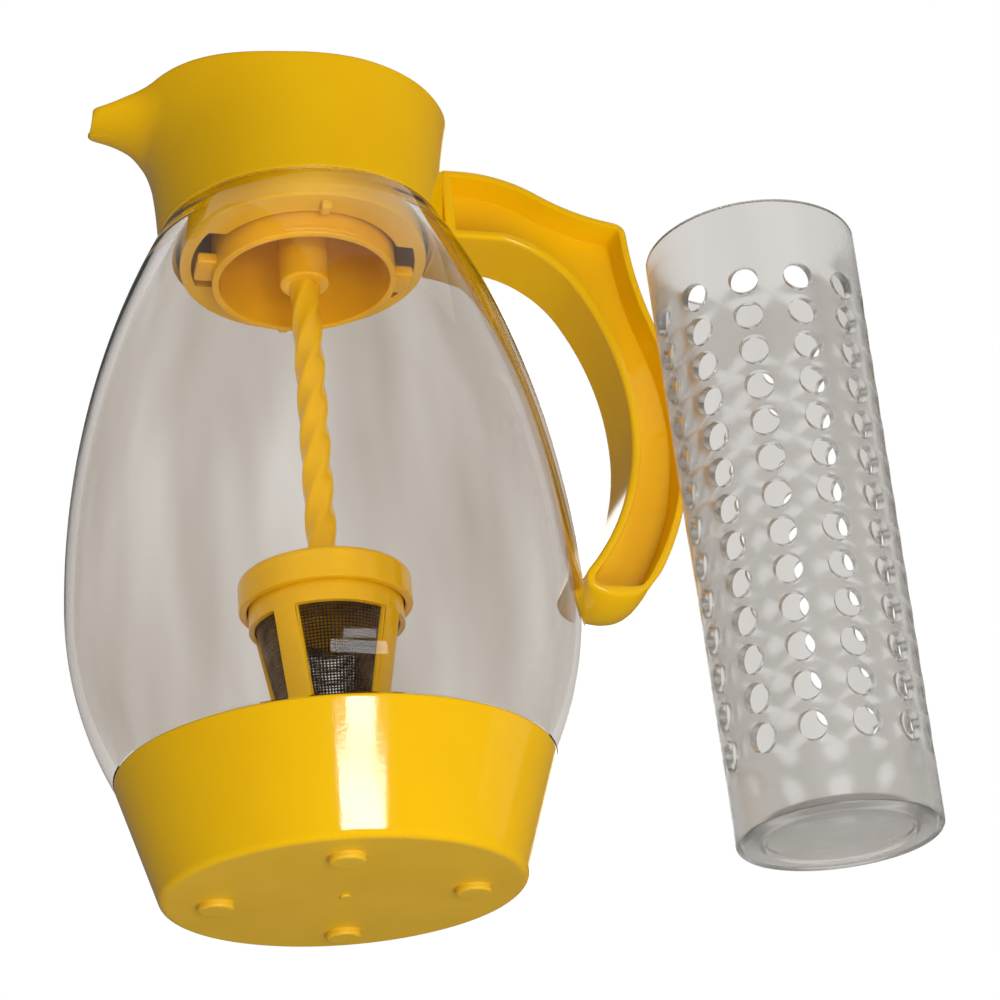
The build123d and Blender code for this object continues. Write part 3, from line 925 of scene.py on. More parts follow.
    def spout_side(self, angle: float, up: float, inset: float) -> float:
        """Radius of the spout's side at an angle from its middle and a height, or 0 where it has none.

        Args:
            angle: Angle from the spout's middle, in radians.
            up: Height.
            inset: How far inside the outer surface.

        Returns:
            The distance from the axis.
        """
        if abs(angle) > radians(self.spout_half_turn):
            return 0.0
        lean = tan(abs(angle))
        near = self.spout_reach + self.search_past
        while near > self.spout_root and self.spout_room(near, up, inset) < near * lean:
            near -= self.search_step
        if near <= self.spout_root:
            return 0.0
        far = near + self.search_step
        for _ in range(self.search_halvings):
            middle = (near + far) / 2
            if self.spout_room(middle, up, inset) < middle * lean:
                far = middle
            else:
                near = middle
        tip = self.spout_reach - inset / self.spout_wall * self.lip
        return soft_least(near / cos(angle), tip / cos(angle), self.tip_blend)

    def spread(self, angle: float, up: float, inset: float) -> float:
        """Radius of the flared wall and the spout together at an angle from its middle and a height."""
        share = max(0.0, (up - self.flare_bottom) / (self.flare_top - self.flare_bottom))
        shift = self.flare * share**2
        flared = shift * cos(angle) + sqrt((self.wall(up) - inset) ** 2 - (shift * sin(angle)) ** 2)
        end = radians(self.root_turn + (up - self.shaped_from) * self.root_lean)
        share = smooth_step((end - abs(angle)) / radians(self.root_fade))
        over = self.spout_side(angle, up, inset) - flared
        return soft_most(flared, flared + over * share - self.corner_blend * (1 - share), self.corner_blend)

    def rim_height(self, angle: float) -> float:
        """Height of the rim at an angle from the spout's middle, with a dip where the channel ends."""
        up = self.top + self.rim_rise / 2
        for _ in range(2):
            radius = self.spread(angle, up, 0.0)
            up = self.rim_line(radius * cos(angle))
        across = radius * sin(angle) / self.lip_half_width
        if cos(angle) > 0 and abs(across) < 1:
            up -= self.lip_dip * (1 - across**2) ** self.lip_fullness
        return up

    def side(self, angle: float, up: float, inside: bool) -> float:
        """Radius of the upper wall's outer or inner side at an angle from the spout and a height."""
        far = max(self.wall(up), self.spread(angle, up, 0.0))
        if not inside:
            return far
        return min(max(self.lid_bore, self.spread(angle, up, self.spout_wall)), far - self.lip)

    def lifted(self, up: float, rise: float, inside: bool) -> float:
        """Height that a point of the spun wall takes where the rim above it rises."""
        still = self.still_inside if inside else self.still_outside
        return up + rise * smooth_step((up - still) / (self.top - still))

    def profile(self, angle: float, low: float, high: float, inside: bool) -> list[Flat]:
        """Upright section of the upper wall's outer or inner side at an angle, in even steps of height."""
        steps = self.profile_steps
        heights = [low + (high - low) * step / steps for step in range(steps + 1)]
        return [(self.side(angle, up, inside), up) for up in heights]

    def shape_rim(self, collar: Piece) -> None:
        """Moves the upper wall of the spun collar out to the flare and the spout, and up to the rim line.

        The rows of each side are spread evenly along its upright section, so that the spout's nearly level
        underside has as many of them as the steep wall.

        Args:
            collar: The spun collar.
        """
        rims: dict[float, tuple[float, list[Flat], list[Flat]]] = {}
        low, high, room_top = self.shaped_from, self.shaped_to, self.top - self.rim_depth
        for vertex in collar.data.vertices:
            x, y, up = vertex.co / MM
            radius, angle = hypot(x, y), atan2(y, -x)
            on_wall = radius > self.wall(up) - CLOSE
            below_seat = up < self.seat and not on_wall
            if up < low + CLOSE or radius < self.lid_bore - CLOSE or below_seat:
                continue
            key = round(angle, 4)
            if key not in rims:
                rise = self.rim_height(angle) - self.top
                outside = self.profile(angle, low, self.lifted(high, rise, False), False)
                inside = self.profile(angle, self.seat, self.lifted(room_top, rise, True), True)
                rims[key] = (rise, outside, inside)
            rise, outside, inside = rims[key]
            if on_wall and up < high + CLOSE:
                radius, up = along(outside, (up - low) / (high - low))
            elif radius < self.lid_bore + CLOSE and up < room_top + CLOSE:
                radius, up = along(inside, (up - self.seat) / (room_top - self.seat))
            else:
                across = (self.wall(up) - radius) / (self.wall(up) - self.lid_bore)
                up = self.lifted(up, rise, across > 0.5)
                far, near = (self.side(angle, up, within) for within in (False, True))
                radius = far + across * (near - far)
            vertex.co = Vector((-radius * cos(angle), radius * sin(angle), up)) * MM
        Bench.mend(collar)

    def build(self, looks: Finishes) -> None:
        """Models the collar and the stops under its floor."""
        half, tip = self.spout_half_turn, self.spout_tip_half_turn
        turns = ((half - tip, 60), (2 * tip, 48), (half - tip, 60), (360 - 2 * half, 130))
        collar = Bench.turn("collar_shell", self.outline(), turns, closed=True, start=180 + half)
        self.shape_rim(collar)
        tool = peg(self.notch_radius, self.floor_bottom - MARGIN, self.floor_top + MARGIN)
        cutter = Bench.turn("notch_tool", tool, 96)
        for side in (1, -1):
            Bench.edit(cutter)
            edge = (0, side * self.notch_half_width * MM, 0)
            bpy.ops.mesh.bisect(plane_co=edge, plane_no=(0, side, 0), use_fill=True, clear_outer=True)
        Bench.clear()
        Bench.cut(collar, cutter)
        Bench.finish(collar, looks.gloss, Body.PITCHER, Slot.YELLOW, "pour_collar")
        self.build_stops(looks)

    def build_stops(self, looks: Finishes) -> None:
        """Models the two small stops under the floor, for the lid's lugs."""
        across, deep, tall = self.stop_size
        middle = (self.floor_bore + self.sleeve) / 2
        low = (middle - across / 2, -deep / 2, self.floor_bottom - tall)
        high = (middle + across / 2, deep / 2, self.floor_bottom + self.stop_sunk)
        stop = Bench.block("collar_stop_back", low, high)
        Bench.soften(stop, self.stop_edge)
        front = Bench.copy(stop, "collar_stop_front", -90)
        Bench.rotate(stop, 90)
        for piece in (stop, front):
            Bench.finish(piece, looks.gloss, Body.PITCHER, Slot.YELLOW)


@dataclass
class Handle:
    """The yellow handle with a recess on each side of its web.

    Its lip and fillet are rings at the recess's edge and bottom, each as inset from the recess and
    distance from the handle's side or the web. Its slices are the rings of the outside, as distances
    from the middle.
    """

    half_width: float = 12.0
    rim: float = 2.6
    web: float = 2.5
    edge: float = 1.1
    root: float = 43.4
    root_top: float = 235.8
    root_bottom: float = 211.0
    brow_start: float = 50.0
    brow: Flat = (75.3, 228.8)
    thumb: Flat = (103.3, 219.8)
    thumb_bend: float = 3.6
    waist: Flat = (109.5, 181.8)
    reach: float = 115.1
    grip_height: float = 148.8
    heel: Flat = (96.7, 91.8)
    toe: Flat = (75.2, 95.4)
    toe_bend: float = 5.0
    toe_start: float = 99.0
    toe_blend: float = 4.0
    toe_slack: float = 1.35
    palm: float = 96.9
    shoulder: Flat = (84.7, 194.0)
    underside: float = 62.0
    recess_start: float = 47.0
    recess_run: float = 6.0
    recess_end: float = 92.6
    recess_bend: float = 3.0
    lip: tuple[Flat, ...] = ((-0.6, 0.0), (-0.2, 0.15), (0.0, 0.6))
    fillet: tuple[Flat, ...] = ((0.0, 1.0), (0.3, 0.3), (1.0, 0.0))
    slices: tuple[float, ...] = (12.0, 11.85, 11.5, 11.1, 10.5, 9.3, 7.7, 5.6, 3.0, 0.0)

    def outline(self) -> list[Flat]:
        """Closed side outline, clockwise from the top of the root."""
        grip, palm_side = (self.reach, self.grip_height), (self.palm, self.grip_height)
        lead = [(self.root + n * (self.brow_start - self.root) / 4, self.root_top) for n in range(4)]
        brow = tangent_arc((self.brow_start, self.root_top), self.brow, (1, 0), 18)
        thumb = tangent_arc(self.brow, self.thumb, heading(brow), 20)
        waist = tangent_arc(self.thumb, self.waist, (0, -1), 26)
        back = tangent_arc(grip, self.waist, (0, 1), 24)[::-1]
        heel = tangent_arc(grip, self.heel, (0, -1), 40)
        toe = tangent_arc(self.heel, self.toe, heading(heel), 30)
        hollow = tangent_arc(palm_side, self.toe, (0, -1), 46)[::-1]
        palm = tangent_arc(palm_side, self.shoulder, (0, 1), 36)
        under = tangent_arc(self.shoulder, (self.underside, self.root_bottom), heading(palm), 26)
        step = (self.underside - self.root) / 8
        flat = [(self.underside - n * step, self.root_bottom) for n in range(1, 9)]
        path = lead + brow
        for stretch in (thumb, waist, back, heel, toe, hollow, palm, under):
            path += stretch[1:]
        path = soften_corner(path + flat, self.thumb, self.thumb_bend)
        return soften_corner(path, self.toe, self.toe_bend)

    def recess(self) -> list[Flat]:
        """Outline of the recess inside an even rim, with one point for each point of the side outline."""
        near, path = self.recess_start + self.recess_run, []
        outline = self.outline()
        for (start, _), (across, up) in zip(outline, offset_inwards(outline, self.rim)):
            if start < near:
                across = near - (near - start) * self.recess_run / (near - self.root)
                up = min(max(up, self.root_bottom + self.rim), self.root_top - self.rim)
            if up < self.toe_start:
                up = soft_most(up, self.recess_end, self.recess_bend)
            path.append((across, up))
        return path

    def rings(self) -> list[list[Vector]]:
        """Rings across the handle, from one side's recess over the outside to the other side's."""
        outline, recess = self.outline(), self.recess()
        inwards = offset_inwards(outline, 1.0)
        places = [(shift, self.web / 2 + rise) for shift, rise in self.fillet[::-1]]
        places += [(shift, self.half_width - drop) for shift, drop in self.lip[::-1]]
        half = []
        for shift, aside in places:
            half.append([Vector((x, aside, up)) for x, up in offset_inwards(recess, shift)])
        for across in self.slices:
            over = max(across - self.half_width + self.edge, 0.0)
            depth = self.edge - sqrt(max(self.edge**2 - over**2, 0.0))
            slim = 1 - sqrt(1 - (across / (self.half_width * self.toe_slack)) ** 2)
            ring = []
            for here, there in zip(outline, inwards):
                x, up = Vector(here).lerp(Vector(there), depth)
                drop = max(self.toe_start - up, 0.0)
                ring.append(Vector((x, across, up + slim * drop**2 / (drop + self.toe_blend))))
            half.append(ring)
        other = [[Vector((point.x, -point.y, point.z)) for point in ring] for ring in half]
        return other + half[-2::-1]

    def build(self, looks: Finishes) -> None:
        """Models the handle as one outline extruded ring by ring, and shapes the rings."""
        outline, rings = self.outline(), self.rings()
        handle = Bench.trace("handle_grip", [Vector((x, 0, up)) for x, up in outline], True)
        bpy.ops.mesh.edge_face_add()
        for _ in rings[1:]:
            bpy.ops.mesh.extrude_region_move(TRANSFORM_OT_translate={"value": (0, MM, 0)})
        Bench.clear()
        tree = KDTree(len(outline))
        for index, (across, up) in enumerate(outline):
            tree.insert((across, up, 0), index)
        tree.balance()
        for vertex in handle.data.vertices:
            x, ring, up = vertex.co / MM
            vertex.co = rings[round(ring)][tree.find((x, up, 0))[1]] * MM
        Bench.mend(handle)
        Bench.finish(handle, looks.gloss, Body.PITCHER, Slot.YELLOW, "handle")


@dataclass
class TurnLid:
    """The turn-lock lid: plate with a finger grip, skirt with lugs and ribs, and a boss for the rod."""

    plate_top: float = 246.55
    plate_bottom: float = 243.75
    plate_radius: float = 44.83
    spigot_radius: float = 42.53
    spigot_bottom: float = 241.95
    wall: float = 2.2
    skirt_radius: float = 28.8
    skirt_bottom: float = 197.5
    boss_radius: float = 7.7
    boss_bottom: float = 196.8
    bore: float = 4.1
    bore_depth: float = 12.1
    lug_low: float = 199.9
    lug_high: float = 203.7
    lug_reach: float = 34.0
    lug_half_width: float = 5.5
    lug_edge: float = 0.9
    rib_low: float = 198.5
    rib_high: float = 199.7
    rib_radius: float = 29.5
    rib_half_width: float = 11.0
    rib_edge: float = 0.3
    grip_length: float = 52.0
    grip_width: float = 11.0
    grip_height: float = 5.0
    grip_sunk: float = 0.5
    grip_edge: float = 2.0
    seal_low: float = 241.8
    seal_high: float = 243.6
    seal_bore: float = 43.23
    seal_edge: float = 0.6
    neck_seal_low: float = 224.0
    neck_seal_high: float = 226.0
    neck_seal_bore: float = 39.2
    neck_seal_radius: float = 41.8

    def outline(self) -> list[Flat]:
        """Half section of the lid, from the axis above to the axis inside the boss."""
        inner_spigot = self.spigot_radius - self.wall
        inner_skirt = self.skirt_radius - self.wall
        bore_top = self.boss_bottom + self.bore_depth
        return rounded([
            (0, self.plate_top, 0),
            (self.plate_radius, self.plate_top, 0.8),
            (self.plate_radius, self.plate_bottom, 0.3),
            (self.spigot_radius, self.plate_bottom, 0.2),
            (self.spigot_radius, self.spigot_bottom, 0.4),
            (inner_spigot, self.spigot_bottom, 0.4),
            (inner_spigot, self.plate_bottom, 0.4),
            (self.skirt_radius, self.plate_bottom, 1.0),
            (self.skirt_radius, self.skirt_bottom, 0.6),
            (inner_skirt, self.skirt_bottom, 0.6),
            (inner_skirt, self.plate_bottom, 1.5),
            (self.boss_radius, self.plate_bottom, 1.5),
            (self.boss_radius, self.boss_bottom, 1.0),
            (self.bore, self.boss_bottom, 0.3),
            (self.bore, bore_top, 0),
            (0, bore_top, 0),
        ])

    def build(self, looks: Finishes) -> None:
        """Models the lid with its lugs, ribs and finger grip."""
        lid = Bench.turn("lid_shell", self.outline(), 144)
        Bench.finish(lid, looks.lid_painted_light_gloss, Body.LID, Slot.YELLOW, "lid")
        inside = self.skirt_radius - self.wall / 2
        low = (inside, -self.lug_half_width, self.lug_low)
        high = (self.lug_reach, self.lug_half_width, self.lug_high)
        lug = Bench.block("lid_lug_handle_side", low, high)
        Bench.soften(lug, self.lug_edge, 4)
        other_lug = Bench.copy(lug, "lid_lug_spout_side", 180)
        reach = degrees(asin(self.rib_half_width / self.rib_radius))
        corners = [
            (inside, self.rib_low, 0),
            (self.rib_radius, self.rib_low, self.rib_edge),
            (self.rib_radius, self.rib_high, self.rib_edge),
            (inside, self.rib_high, 0),
        ]
        section = rounded(corners, closed=True)
        rib = Bench.turn("lid_rib_back", section, ((2 * reach, 20),), closed=True, start=90 + reach)
        other_rib = Bench.copy(rib, "lid_rib_front", 180)
        for piece in (lug, other_lug, rib, other_rib):
            Bench.finish(piece, looks.lid_painted_light_gloss, Body.LID, Slot.YELLOW)
        self.build_grip(looks)
        self.build_seals(looks)

    def build_grip(self, looks: Finishes) -> None:
        """Models the finger grip on top of the lid."""
        low = (-self.grip_length / 2, -self.grip_width / 2, self.plate_top - self.grip_sunk)
        high = (self.grip_length / 2, self.grip_width / 2, self.plate_top + self.grip_height)
        grip = Bench.block("lid_finger_grip", low, high)
        Bench.pick_edges(grip, lambda one, other: abs(one - other) > MARGIN)
        bpy.ops.mesh.bevel(offset=LONGEST_BEND * self.grip_width * MM, segments=10)
        Bench.pick_edges(grip, lambda one, other: min(one, other) > self.plate_top + MARGIN)
        bpy.ops.mesh.bevel(offset=self.grip_edge * MM, segments=5)
        Bench.finish(grip, looks.lid_painted_light_gloss, Body.LID, Slot.YELLOW)

    def build_seals(self, looks: Finishes) -> None:
        """Models the two seal rings."""
        lid_ring = (self.seal_bore, self.plate_radius, self.seal_low, self.seal_high)
        neck_ring = (self.neck_seal_bore, self.neck_seal_radius, self.neck_seal_low, self.neck_seal_high)
        for node, body, size in (("lid_seal", Body.SEAL, lid_ring), ("neck_seal", Body.PITCHER, neck_ring)):
            bore, radius, low, high = size
            places = ((bore, low), (radius, low), (radius, high), (bore, high))
            section = rounded([(*place, self.seal_edge) for place in places], closed=True)
            ring = Bench.turn(node + "_ring", section, 128, closed=True)
            Bench.finish(ring, looks.rubber, body, Slot.RUBBER, node)


@dataclass
class TwistRod:
    """The twisted rod between the lid's boss and the basket's cap."""

    top: float = 196.8
    bottom: float = 97.0
    square: float = 7.9
    corner: float = 2.2
    pitch: float = 53.6
    steps_per_turn: int = 72
    overlap: float = 0.5
    foot_radius: float = 5.65
    foot_height: float = 2.4
    foot_neck: float = 4.6
    stud_radius: float = 3.0
    stud_bottom: float = 94.6
    shank_radius: float = 4.0
    shank_depth: float = 12.0
    shank_sunk: float = 0.2
    shank_edge: float = 0.4

    def build(self, looks: Finishes) -> None:
        """Models the rod by screwing a rounded square along the axis, then its foot and shank."""
        Bench.clear()
        bpy.ops.mesh.primitive_plane_add(size=self.square * MM, location=(0, 0, 0))
        rod = Bench.open("rod_twist")
        bpy.ops.mesh.bevel(offset=self.corner * MM, segments=5, affect="VERTICES")
        bpy.ops.mesh.delete(type="ONLY_FACE")
        half = (self.top + self.overlap - self.bottom) / 2
        steps = round(self.steps_per_turn * half / self.pitch)
        Bench.clear()
        Bench.apply(
            rod, "SCREW", angle=2 * pi * half / self.pitch, iterations=2, screw_offset=half * MM,
            steps=steps, render_steps=steps,
        )
        Bench.edit(rod)
        bpy.ops.mesh.fill_holes(sides=0)
        bpy.ops.transform.translate(value=(0, 0, self.bottom * MM))
        Bench.weld()
        Bench.finish(rod, looks.gloss, Body.LID, Slot.YELLOW, "twist_rod")
        foot_top = self.bottom + self.foot_height
        section = rounded([
            (0, self.stud_bottom, 0),
            (self.stud_radius, self.stud_bottom, 0.3),
            (self.stud_radius, self.bottom, 0),
            (self.foot_radius, self.bottom, 0),
            (self.foot_neck, foot_top, 0.5),
            (0, foot_top, 0),
        ])
        foot = Bench.turn("rod_foot", section, 48)
        low, high = self.top - self.shank_sunk, self.top + self.shank_depth
        shank = Bench.turn("rod_shank", peg(self.shank_radius, low, high, 0, self.shank_edge), 48)
        for piece in (foot, shank):
            Bench.finish(piece, looks.gloss, Body.LID, Slot.YELLOW)


@dataclass
class TeaBasket:
    """The basket's cap, frame and woven steel mesh."""

    cap_top: float = 97.0
    cap_bottom: float = 86.8
    cap_radius: float = 25.3
    cap_bore: float = 22.9
    cap_ceiling: float = 2.4
    stud_bore: float = 3.1
    ring_radius: float = 22.5
    ring_top: float = 94.2
    ring_bottom: float = 81.0
    bottom: float = 38.0
    bottom_radius: float = 13.6
    wall: float = 1.7
    floor: float = 2.0
    sill: float = 3.0
    rib_count: int = 4
    rib_width: float = 7.6
    frame_edge: float = 0.25
    frame_angle: float = 50.0
    mesh_gap: float = 0.2
    mesh_overlap: float = 2.0
    wire: float = 0.60
    wire_columns: int = 112
    wire_rows: int = 46
    weave: float = 0.12

    def side(self, up: float) -> float:
        """Outer radius of the tapering frame at a height."""
        share = (up - self.bottom) / (self.ring_bottom - self.bottom)
        return self.bottom_radius + min(share, 1.0) * (self.ring_radius - self.bottom_radius)

    def build(self, looks: Finishes) -> None:
        """Models the cap, the frame and the mesh."""
        ceiling = self.cap_top - self.cap_ceiling
        corners = [
            (self.stud_bore, self.cap_top, 0.2),
            (self.cap_radius, self.cap_top, 2.2),
            (self.cap_radius, self.cap_bottom, 0.7),
            (self.cap_bore, self.cap_bottom, 0.5),
            (self.cap_bore, ceiling, 1.0),
            (self.stud_bore, ceiling, 0.2),
        ]
        cap = Bench.turn("basket_cap_shell", rounded(corners, closed=True, steps=5), 112, closed=True)
        Bench.finish(cap, looks.gloss, Body.LID, Slot.YELLOW, "basket_cap")
        self.build_frame(looks)
        self.build_mesh(looks)

    def build_frame(self, looks: Finishes) -> None:
        """Models the frame: one tapering cup with windows cut between its ribs."""
        floor_top = self.bottom + self.floor
        ring_bore = self.ring_radius - self.wall
        section = rounded([
            (0, self.bottom, 0),
            (self.bottom_radius, self.bottom, 0.8),
            (self.ring_radius, self.ring_bottom, 0.6),
            (self.ring_radius, self.ring_top, 0.4),
            (ring_bore, self.ring_top, 0.4),
            (ring_bore, self.ring_bottom, 0.6),
            (self.side(floor_top) - self.wall, floor_top, 0.6),
            (0, floor_top, 0),
        ])
        cup = Bench.turn("basket_frame_shell", section, 112)
        near, far = self.rib_width / 2, self.cap_radius
        low, high = (near, near, floor_top + self.sill), (far, far, self.ring_bottom)
        for window in range(self.rib_count):
            tool = Bench.block("window_tool", low, high)
            Bench.rotate(tool, 45 + 360 * window / self.rib_count)
            Bench.cut(cup, tool)
        Bench.soften(cup, self.frame_edge, 2, self.frame_angle)
        Bench.finish(cup, looks.gloss, Body.BASKET, Slot.YELLOW, "basket_frame")

    def build_mesh(self, looks: Finishes) -> None:
        """Models the mesh: a spun sleeve, pushed in and out as wires cross, then turned into wires."""
        low = self.bottom + self.floor + self.mesh_gap
        tall = self.ring_bottom + self.mesh_overlap - low
        inset = self.wall + self.mesh_gap + self.wire
        heights = [low + tall * row / self.wire_rows for row in range(self.wire_rows + 1)]
        line = [(self.side(up) - inset, up) for up in heights]
        sleeve = Bench.turn("basket_wire_mesh", line, self.wire_columns)
        for vertex in sleeve.data.vertices:
            x, y, up = vertex.co / MM
            column = round(atan2(y, x) / (2 * pi) * self.wire_columns)
            row = round((up - low) / tall * self.wire_rows)
            push = self.weave if (column + row) % 2 else -self.weave
            vertex.co += Vector((x, y, 0)).normalized() * push * MM
        Bench.apply(
            sleeve, "WIREFRAME", thickness=self.wire * MM, use_even_offset=False, use_boundary=True
        )
        Bench.finish(sleeve, looks.steel, Body.BASKET, Slot.STEEL, "basket_mesh")


@dataclass
class CoreTube:
    """The clear perforated tube that stands beside the pitcher.

    Its top and foot heights are rings of the plain ends, above and below the rows of holes.
    """

    centre: Flat = (126.0, -52.0)
    length: float = 185.0
    top_radius: float = 31.5
    bottom_radius: float = 28.5
    wall: float = 2.4
    floor: float = 6.0
    foot_edge: float = 2.0
    top_heights: Flat = (172.0, 179.0)
    foot_heights: Flat = (12.0, 6.0)
    dish_depth: float = 1.0
    dish_radius: float = 20.5
    dish_slope: float = 0.5
    dish_middle: float = 8.0
    dish_rim: float = 1.5
    columns: int = 12
    rows: int = 13
    pitch: float = 11.3
    first_row: float = 24.0
    hole_diameter: float = 8.4
    hole_steps: int = 24
    edge: float = 0.35
    edge_angle: float = 50.0

    @property
    def mean_radius(self) -> float:
        """Radius at which the flat sheet of cells is as wide as the tube's girth."""
        return (self.top_radius + self.bottom_radius) / 2

    def side(self, up: float) -> float:
        """Outer radius of the tapering tube at a height."""
        return self.bottom_radius + (self.top_radius - self.bottom_radius) * up / self.length

    def cell(self) -> Piece:
        """One flat cell: a round hole whose edge is drawn out to the cell's rectangle."""
        half_wide = pi * self.mean_radius / self.columns
        half_tall = self.pitch / 2
        corner = atan2(half_tall, half_wide)
        Bench.clear()
        bpy.ops.mesh.primitive_circle_add(
            vertices=self.hole_steps, radius=self.hole_diameter / 2 * MM, location=(0, 0, 0)
        )
        cell = Bench.open("core_shell")
        bpy.ops.mesh.extrude_region_move(TRANSFORM_OT_translate={"value": (0, 0, 0)})
        Bench.clear()
        for vertex in cell.data.vertices:
            if not vertex.select:
                continue
            angle = atan2(vertex.co.y, vertex.co.x)
            forward = abs(angle) <= pi / 2
            lean = abs(angle) if forward else pi - abs(angle)
            if abs(lean - corner) <= pi / self.hole_steps:
                lean = corner
            out = min(half_wide / max(cos(lean), TINY), half_tall / max(sin(lean), TINY))
            across = out * cos(lean) * (1 if forward else -1)
            up = out * sin(lean) * (1 if angle >= 0 else -1)
            vertex.co = Vector((across, up, 0)) * MM
        return cell

    def wrap(self, sheet: Piece) -> None:
        """Rolls the flat sheet of cells up into the tube."""
        for vertex in sheet.data.vertices:
            turn = vertex.co.x / MM / self.mean_radius
            up = vertex.co.y / MM + self.first_row
            radius = self.side(up)
            vertex.co = Vector((radius * cos(turn), radius * sin(turn), up)) * MM
        Bench.mend(sheet)

    def stretch_end(self, sheet: Piece, start: float, stops: Sequence[Flat]) -> None:
        """Extrudes the ring of edges at one end of the sheet through rings of given radius and height."""
        Bench.pick_edges(sheet, lambda one, other: max(abs(one - start), abs(other - start)) < ON_RING)
        radius, up = self.side(start), start
        for next_radius, next_up in stops:
            bpy.ops.mesh.extrude_region_move(TRANSFORM_OT_translate={"value": (0, 0, (next_up - up) * MM)})
            scale = next_radius / radius
            bpy.ops.transform.resize(value=(scale, scale, 1), center_override=(0, 0, next_up * MM))
            radius, up = next_radius, next_up

    def raise_floor(self, tube: Piece) -> None:
        """Lifts the inner side of the floor above the dish, which is thicker than the wall."""
        top = self.dish_depth + self.wall

        def wanted(face: bpy.types.MeshPolygon) -> bool:
            """Whether a face is part of that inner side."""
            x, y, up = face.center / MM
            inside = hypot(x, y) < self.dish_radius + self.dish_rim
            return inside and face.normal.z > LEVEL and up < top + MARGIN

        Bench.pick_faces(tube, wanted)
        bpy.ops.transform.translate(value=(0, 0, (self.floor - top) * MM))
        Bench.clear()

    def build(self, looks: Finishes) -> None:
        """Models the tube: cells in rows, rolled up, with plain ends, a floor and a wall thickness."""
        tube = self.cell()
        wide = 2 * pi * self.mean_radius / self.columns
        for count, offset in ((self.columns, (wide, 0, 0)), (self.rows, (0, self.pitch, 0))):
            Bench.apply(
                tube, "ARRAY", count=count, use_relative_offset=False, use_constant_offset=True,
                constant_offset_displace=Vector(offset) * MM, use_merge_vertices=True, merge_threshold=WELD,
            )
        self.wrap(tube)
        low = self.first_row - self.pitch / 2
        high = low + self.rows * self.pitch
        self.stretch_end(tube, high, [(self.side(up), up) for up in (*self.top_heights, self.length)])
        edge = self.foot_edge
        foot = [(self.side(up), up) for up in (*self.foot_heights, edge)]
        foot += tangent_arc((self.side(edge), edge), (self.bottom_radius - edge, 0), (0, -1), 4)[1:]
        foot.append((self.dish_radius, 0.0))
        foot.append((self.dish_radius - self.dish_slope, self.dish_depth))
        foot.append((self.dish_middle, self.dish_depth))
        self.stretch_end(tube, low, foot)
        bpy.ops.mesh.edge_face_add()
        Bench.weld()
        Bench.clear()
        Bench.apply(tube, "SOLIDIFY", thickness=self.wall * MM, offset=-1, use_even_offset=True)
        self.raise_floor(tube)
        Bench.soften(tube, self.edge, 2, self.edge_angle)
        tube.data.transform(Matrix.Translation((self.centre[0] * MM, self.centre[1] * MM, 0)))
        Bench.finish(tube, looks.core, Body.CORE, Slot.CLEAR, "ice_core")


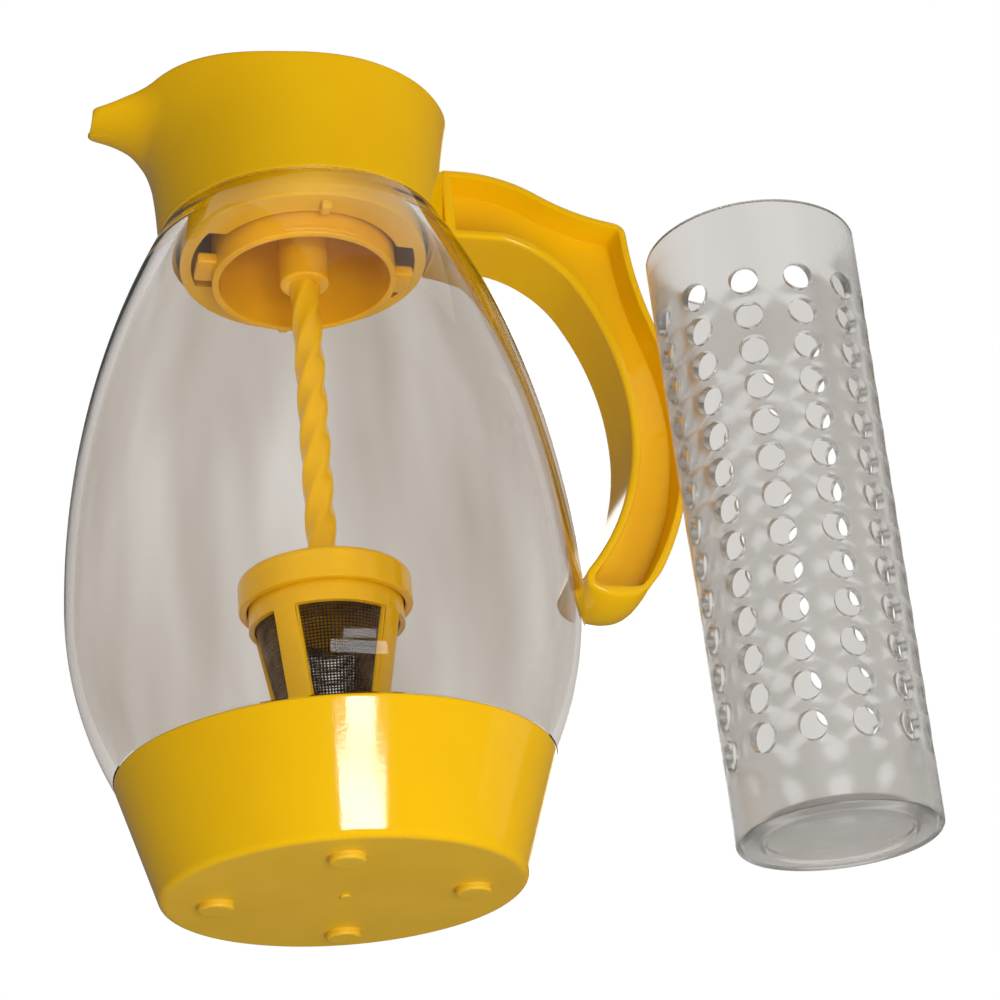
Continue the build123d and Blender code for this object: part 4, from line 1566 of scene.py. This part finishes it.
@dataclass
class Studio:
    """Floor, world, lamps and the camera at the photograph's viewing angle.

    The camera looks up from below the floor, so the floor lets it and the lamps through from that side.
    Each lamp is a name, place and target in metres, size, power and whether surfaces mirror it.
    """

    eye: Place = (-148.95, -645.17, -198.05)
    view_heading: float = 17.62
    view_rise: float = 25.54
    view_roll: float = -5.79
    focal_pixels: float = 2478.4
    image_pixels: float = 1000.0
    sensor: float = 36.0
    floor_size: float = 4.0
    floor_colour: Colour = (0.46, 0.455, 0.45)
    floor_cloud: float = 0.96
    floor_glow: float = 1.45
    ambient: Colour = (0.21, 0.21, 0.21)
    mirrored: Colour = (0.12, 0.118, 0.115)
    backdrop: Colour = (0.95, 0.94, 0.93)
    white: Colour = (1.0, 1.0, 1.0)
    lamps: tuple[tuple[str, Place, Place, Flat, float, bool], ...] = (
        ("upper_window", (0.012, -1.121, -0.259), (-0.006, -0.056, 0.02), (0.28, 0.056), 1.3, True),
        ("lower_window", (0.012, -1.097, -0.335), (-0.006, -0.056, 0.02), (0.50, 0.078), 3.2, True),
        ("front_lamp", (0.1, -1.2, -0.2), (0.0, 0.0, 0.10), (0.6, 0.6), 0.6, False),
        ("right_lamp", (1.2, -0.6, 0.15), (0.0, 0.0, 0.10), (1.3, 1.3), 2.8, False),
        ("low_lamp", (0.15, -0.75, -0.70), (0.0, 0.0, 0.10), (0.9, 0.6), 7.0, False),
        ("overhead_lamp", (0.2, 0.1, 1.3), (0.0, 0.0, 0.1), (1.2, 1.2), 5.0, True),
        ("left_lamp", (-0.75, 0.6, -0.05), (0.1, 0.0, 0.15), (0.6, 0.6), 1.8, False),
        ("back_lamp", (0.5, 1.1, 0.6), (0.0, 0.0, 0.12), (0.8, 0.8), 4.0, True),
    )

    def build_camera(self) -> None:
        """Adds the camera."""
        turn, rise, roll = (radians(a) for a in (self.view_heading, self.view_rise, self.view_roll))
        look = Vector((sin(turn) * cos(rise), cos(turn) * cos(rise), sin(rise)))
        right = look.cross(Vector((0, 0, 1))).normalized()
        up = right.cross(look)
        across = right * cos(roll) + up * sin(roll)
        upward = up * cos(roll) - right * sin(roll)
        data = bpy.data.cameras.new("photo_camera")
        data.sensor_width = self.sensor
        data.lens = self.focal_pixels / self.image_pixels * self.sensor
        camera = bpy.data.objects.new("photo_camera", data)
        bpy.context.scene.collection.objects.link(camera)
        axes = Matrix((across, upward, -look)).transposed().to_4x4()
        camera.matrix_world = Matrix.Translation(Vector(self.eye) * MM) @ axes
        bpy.context.scene.camera = camera

    def build_world(self) -> None:
        """Lights the scene evenly, with a white background for the camera."""
        world = bpy.data.worlds.new("studio")
        bpy.context.scene.world = world
        world.use_nodes = True
        plan = Wiring(world.node_tree)
        rays = plan.add("LightPath").outputs
        shine = plan.mix(rays["Is Glossy Ray"], self.ambient, self.mirrored)
        seen = plan.mix(rays["Is Transmission Ray"], shine, self.backdrop)
        colour = plan.mix(rays["Is Camera Ray"], seen, self.white)
        sky = plan.add("Background", Color=colour)
        plan.add("OutputWorld", Surface=sky.outputs[0])

    def build_floor(self) -> None:
        """Adds the pale floor, which shows only from above."""
        Bench.clear()
        bpy.ops.mesh.primitive_plane_add(size=self.floor_size, location=(0, 0, 0))
        floor = bpy.context.object
        floor.name = "studio_floor"
        material, plan = new_material("pale studio floor")
        place = plan.add("TexCoord").outputs["Object"]
        cloud = plan.add("TexNoise", Vector=place, Scale=3.0, Detail=3.0)
        clouded = tuple(self.floor_cloud * share for share in self.floor_colour)
        tone = plan.mix(cloud.outputs[0], self.floor_colour, clouded)
        matte = plan.add(
            "BsdfPrincipled", Base_Color=tone, Roughness=0.7, Emission_Color=tone,
            Emission_Strength=self.floor_glow,
        )
        rays = plan.add("LightPath").outputs
        below = plan.add("NewGeometry").outputs["Backfacing"]
        looked_at = plan.math("MAXIMUM", rays["Is Camera Ray"], rays["Is Transmission Ray"])
        unseen = plan.math("MAXIMUM", below, plan.math("SUBTRACT", 1.0, looked_at))
        plan.add("OutputMaterial", Surface=plan.either(unseen, matte, plan.add("BsdfTransparent")))
        floor.data.materials.append(material)

    def build_lamps(self) -> None:
        """Adds the soft lamps; a lamp without shine lights the surfaces but isn't mirrored in them."""
        for name, place, target, size, power, shine in self.lamps:
            data = bpy.data.lights.new(name, "AREA")
            data.shape = "RECTANGLE"
            data.size, data.size_y = size
            data.energy = power
            lamp = bpy.data.objects.new(name, data)
            bpy.context.scene.collection.objects.link(lamp)
            aim = Vector(target) - Vector(place)
            lamp.rotation_euler = aim.to_track_quat("-Z", "Y").to_euler()
            lamp.location = place
            lamp.visible_transmission = False
            lamp.visible_glossy = shine

    def build(self) -> None:
        """Sets up the whole studio."""
        bpy.context.scene.view_settings.view_transform = "Standard"
        self.build_camera()
        self.build_world()
        self.build_floor()
        self.build_lamps()


def main() -> None:
    """Builds every sub-assembly and the studio."""
    logging.basicConfig(level=logging.INFO, format="%(message)s")
    looks = Finishes()
    for assembly in (BaseCup, ClearBody, PourCollar, Handle, TurnLid, TwistRod, TeaBasket, CoreTube):
        assembly().build(looks)
    Bench.clear()
    Studio().build()


if __name__ == "__main__":
    main()
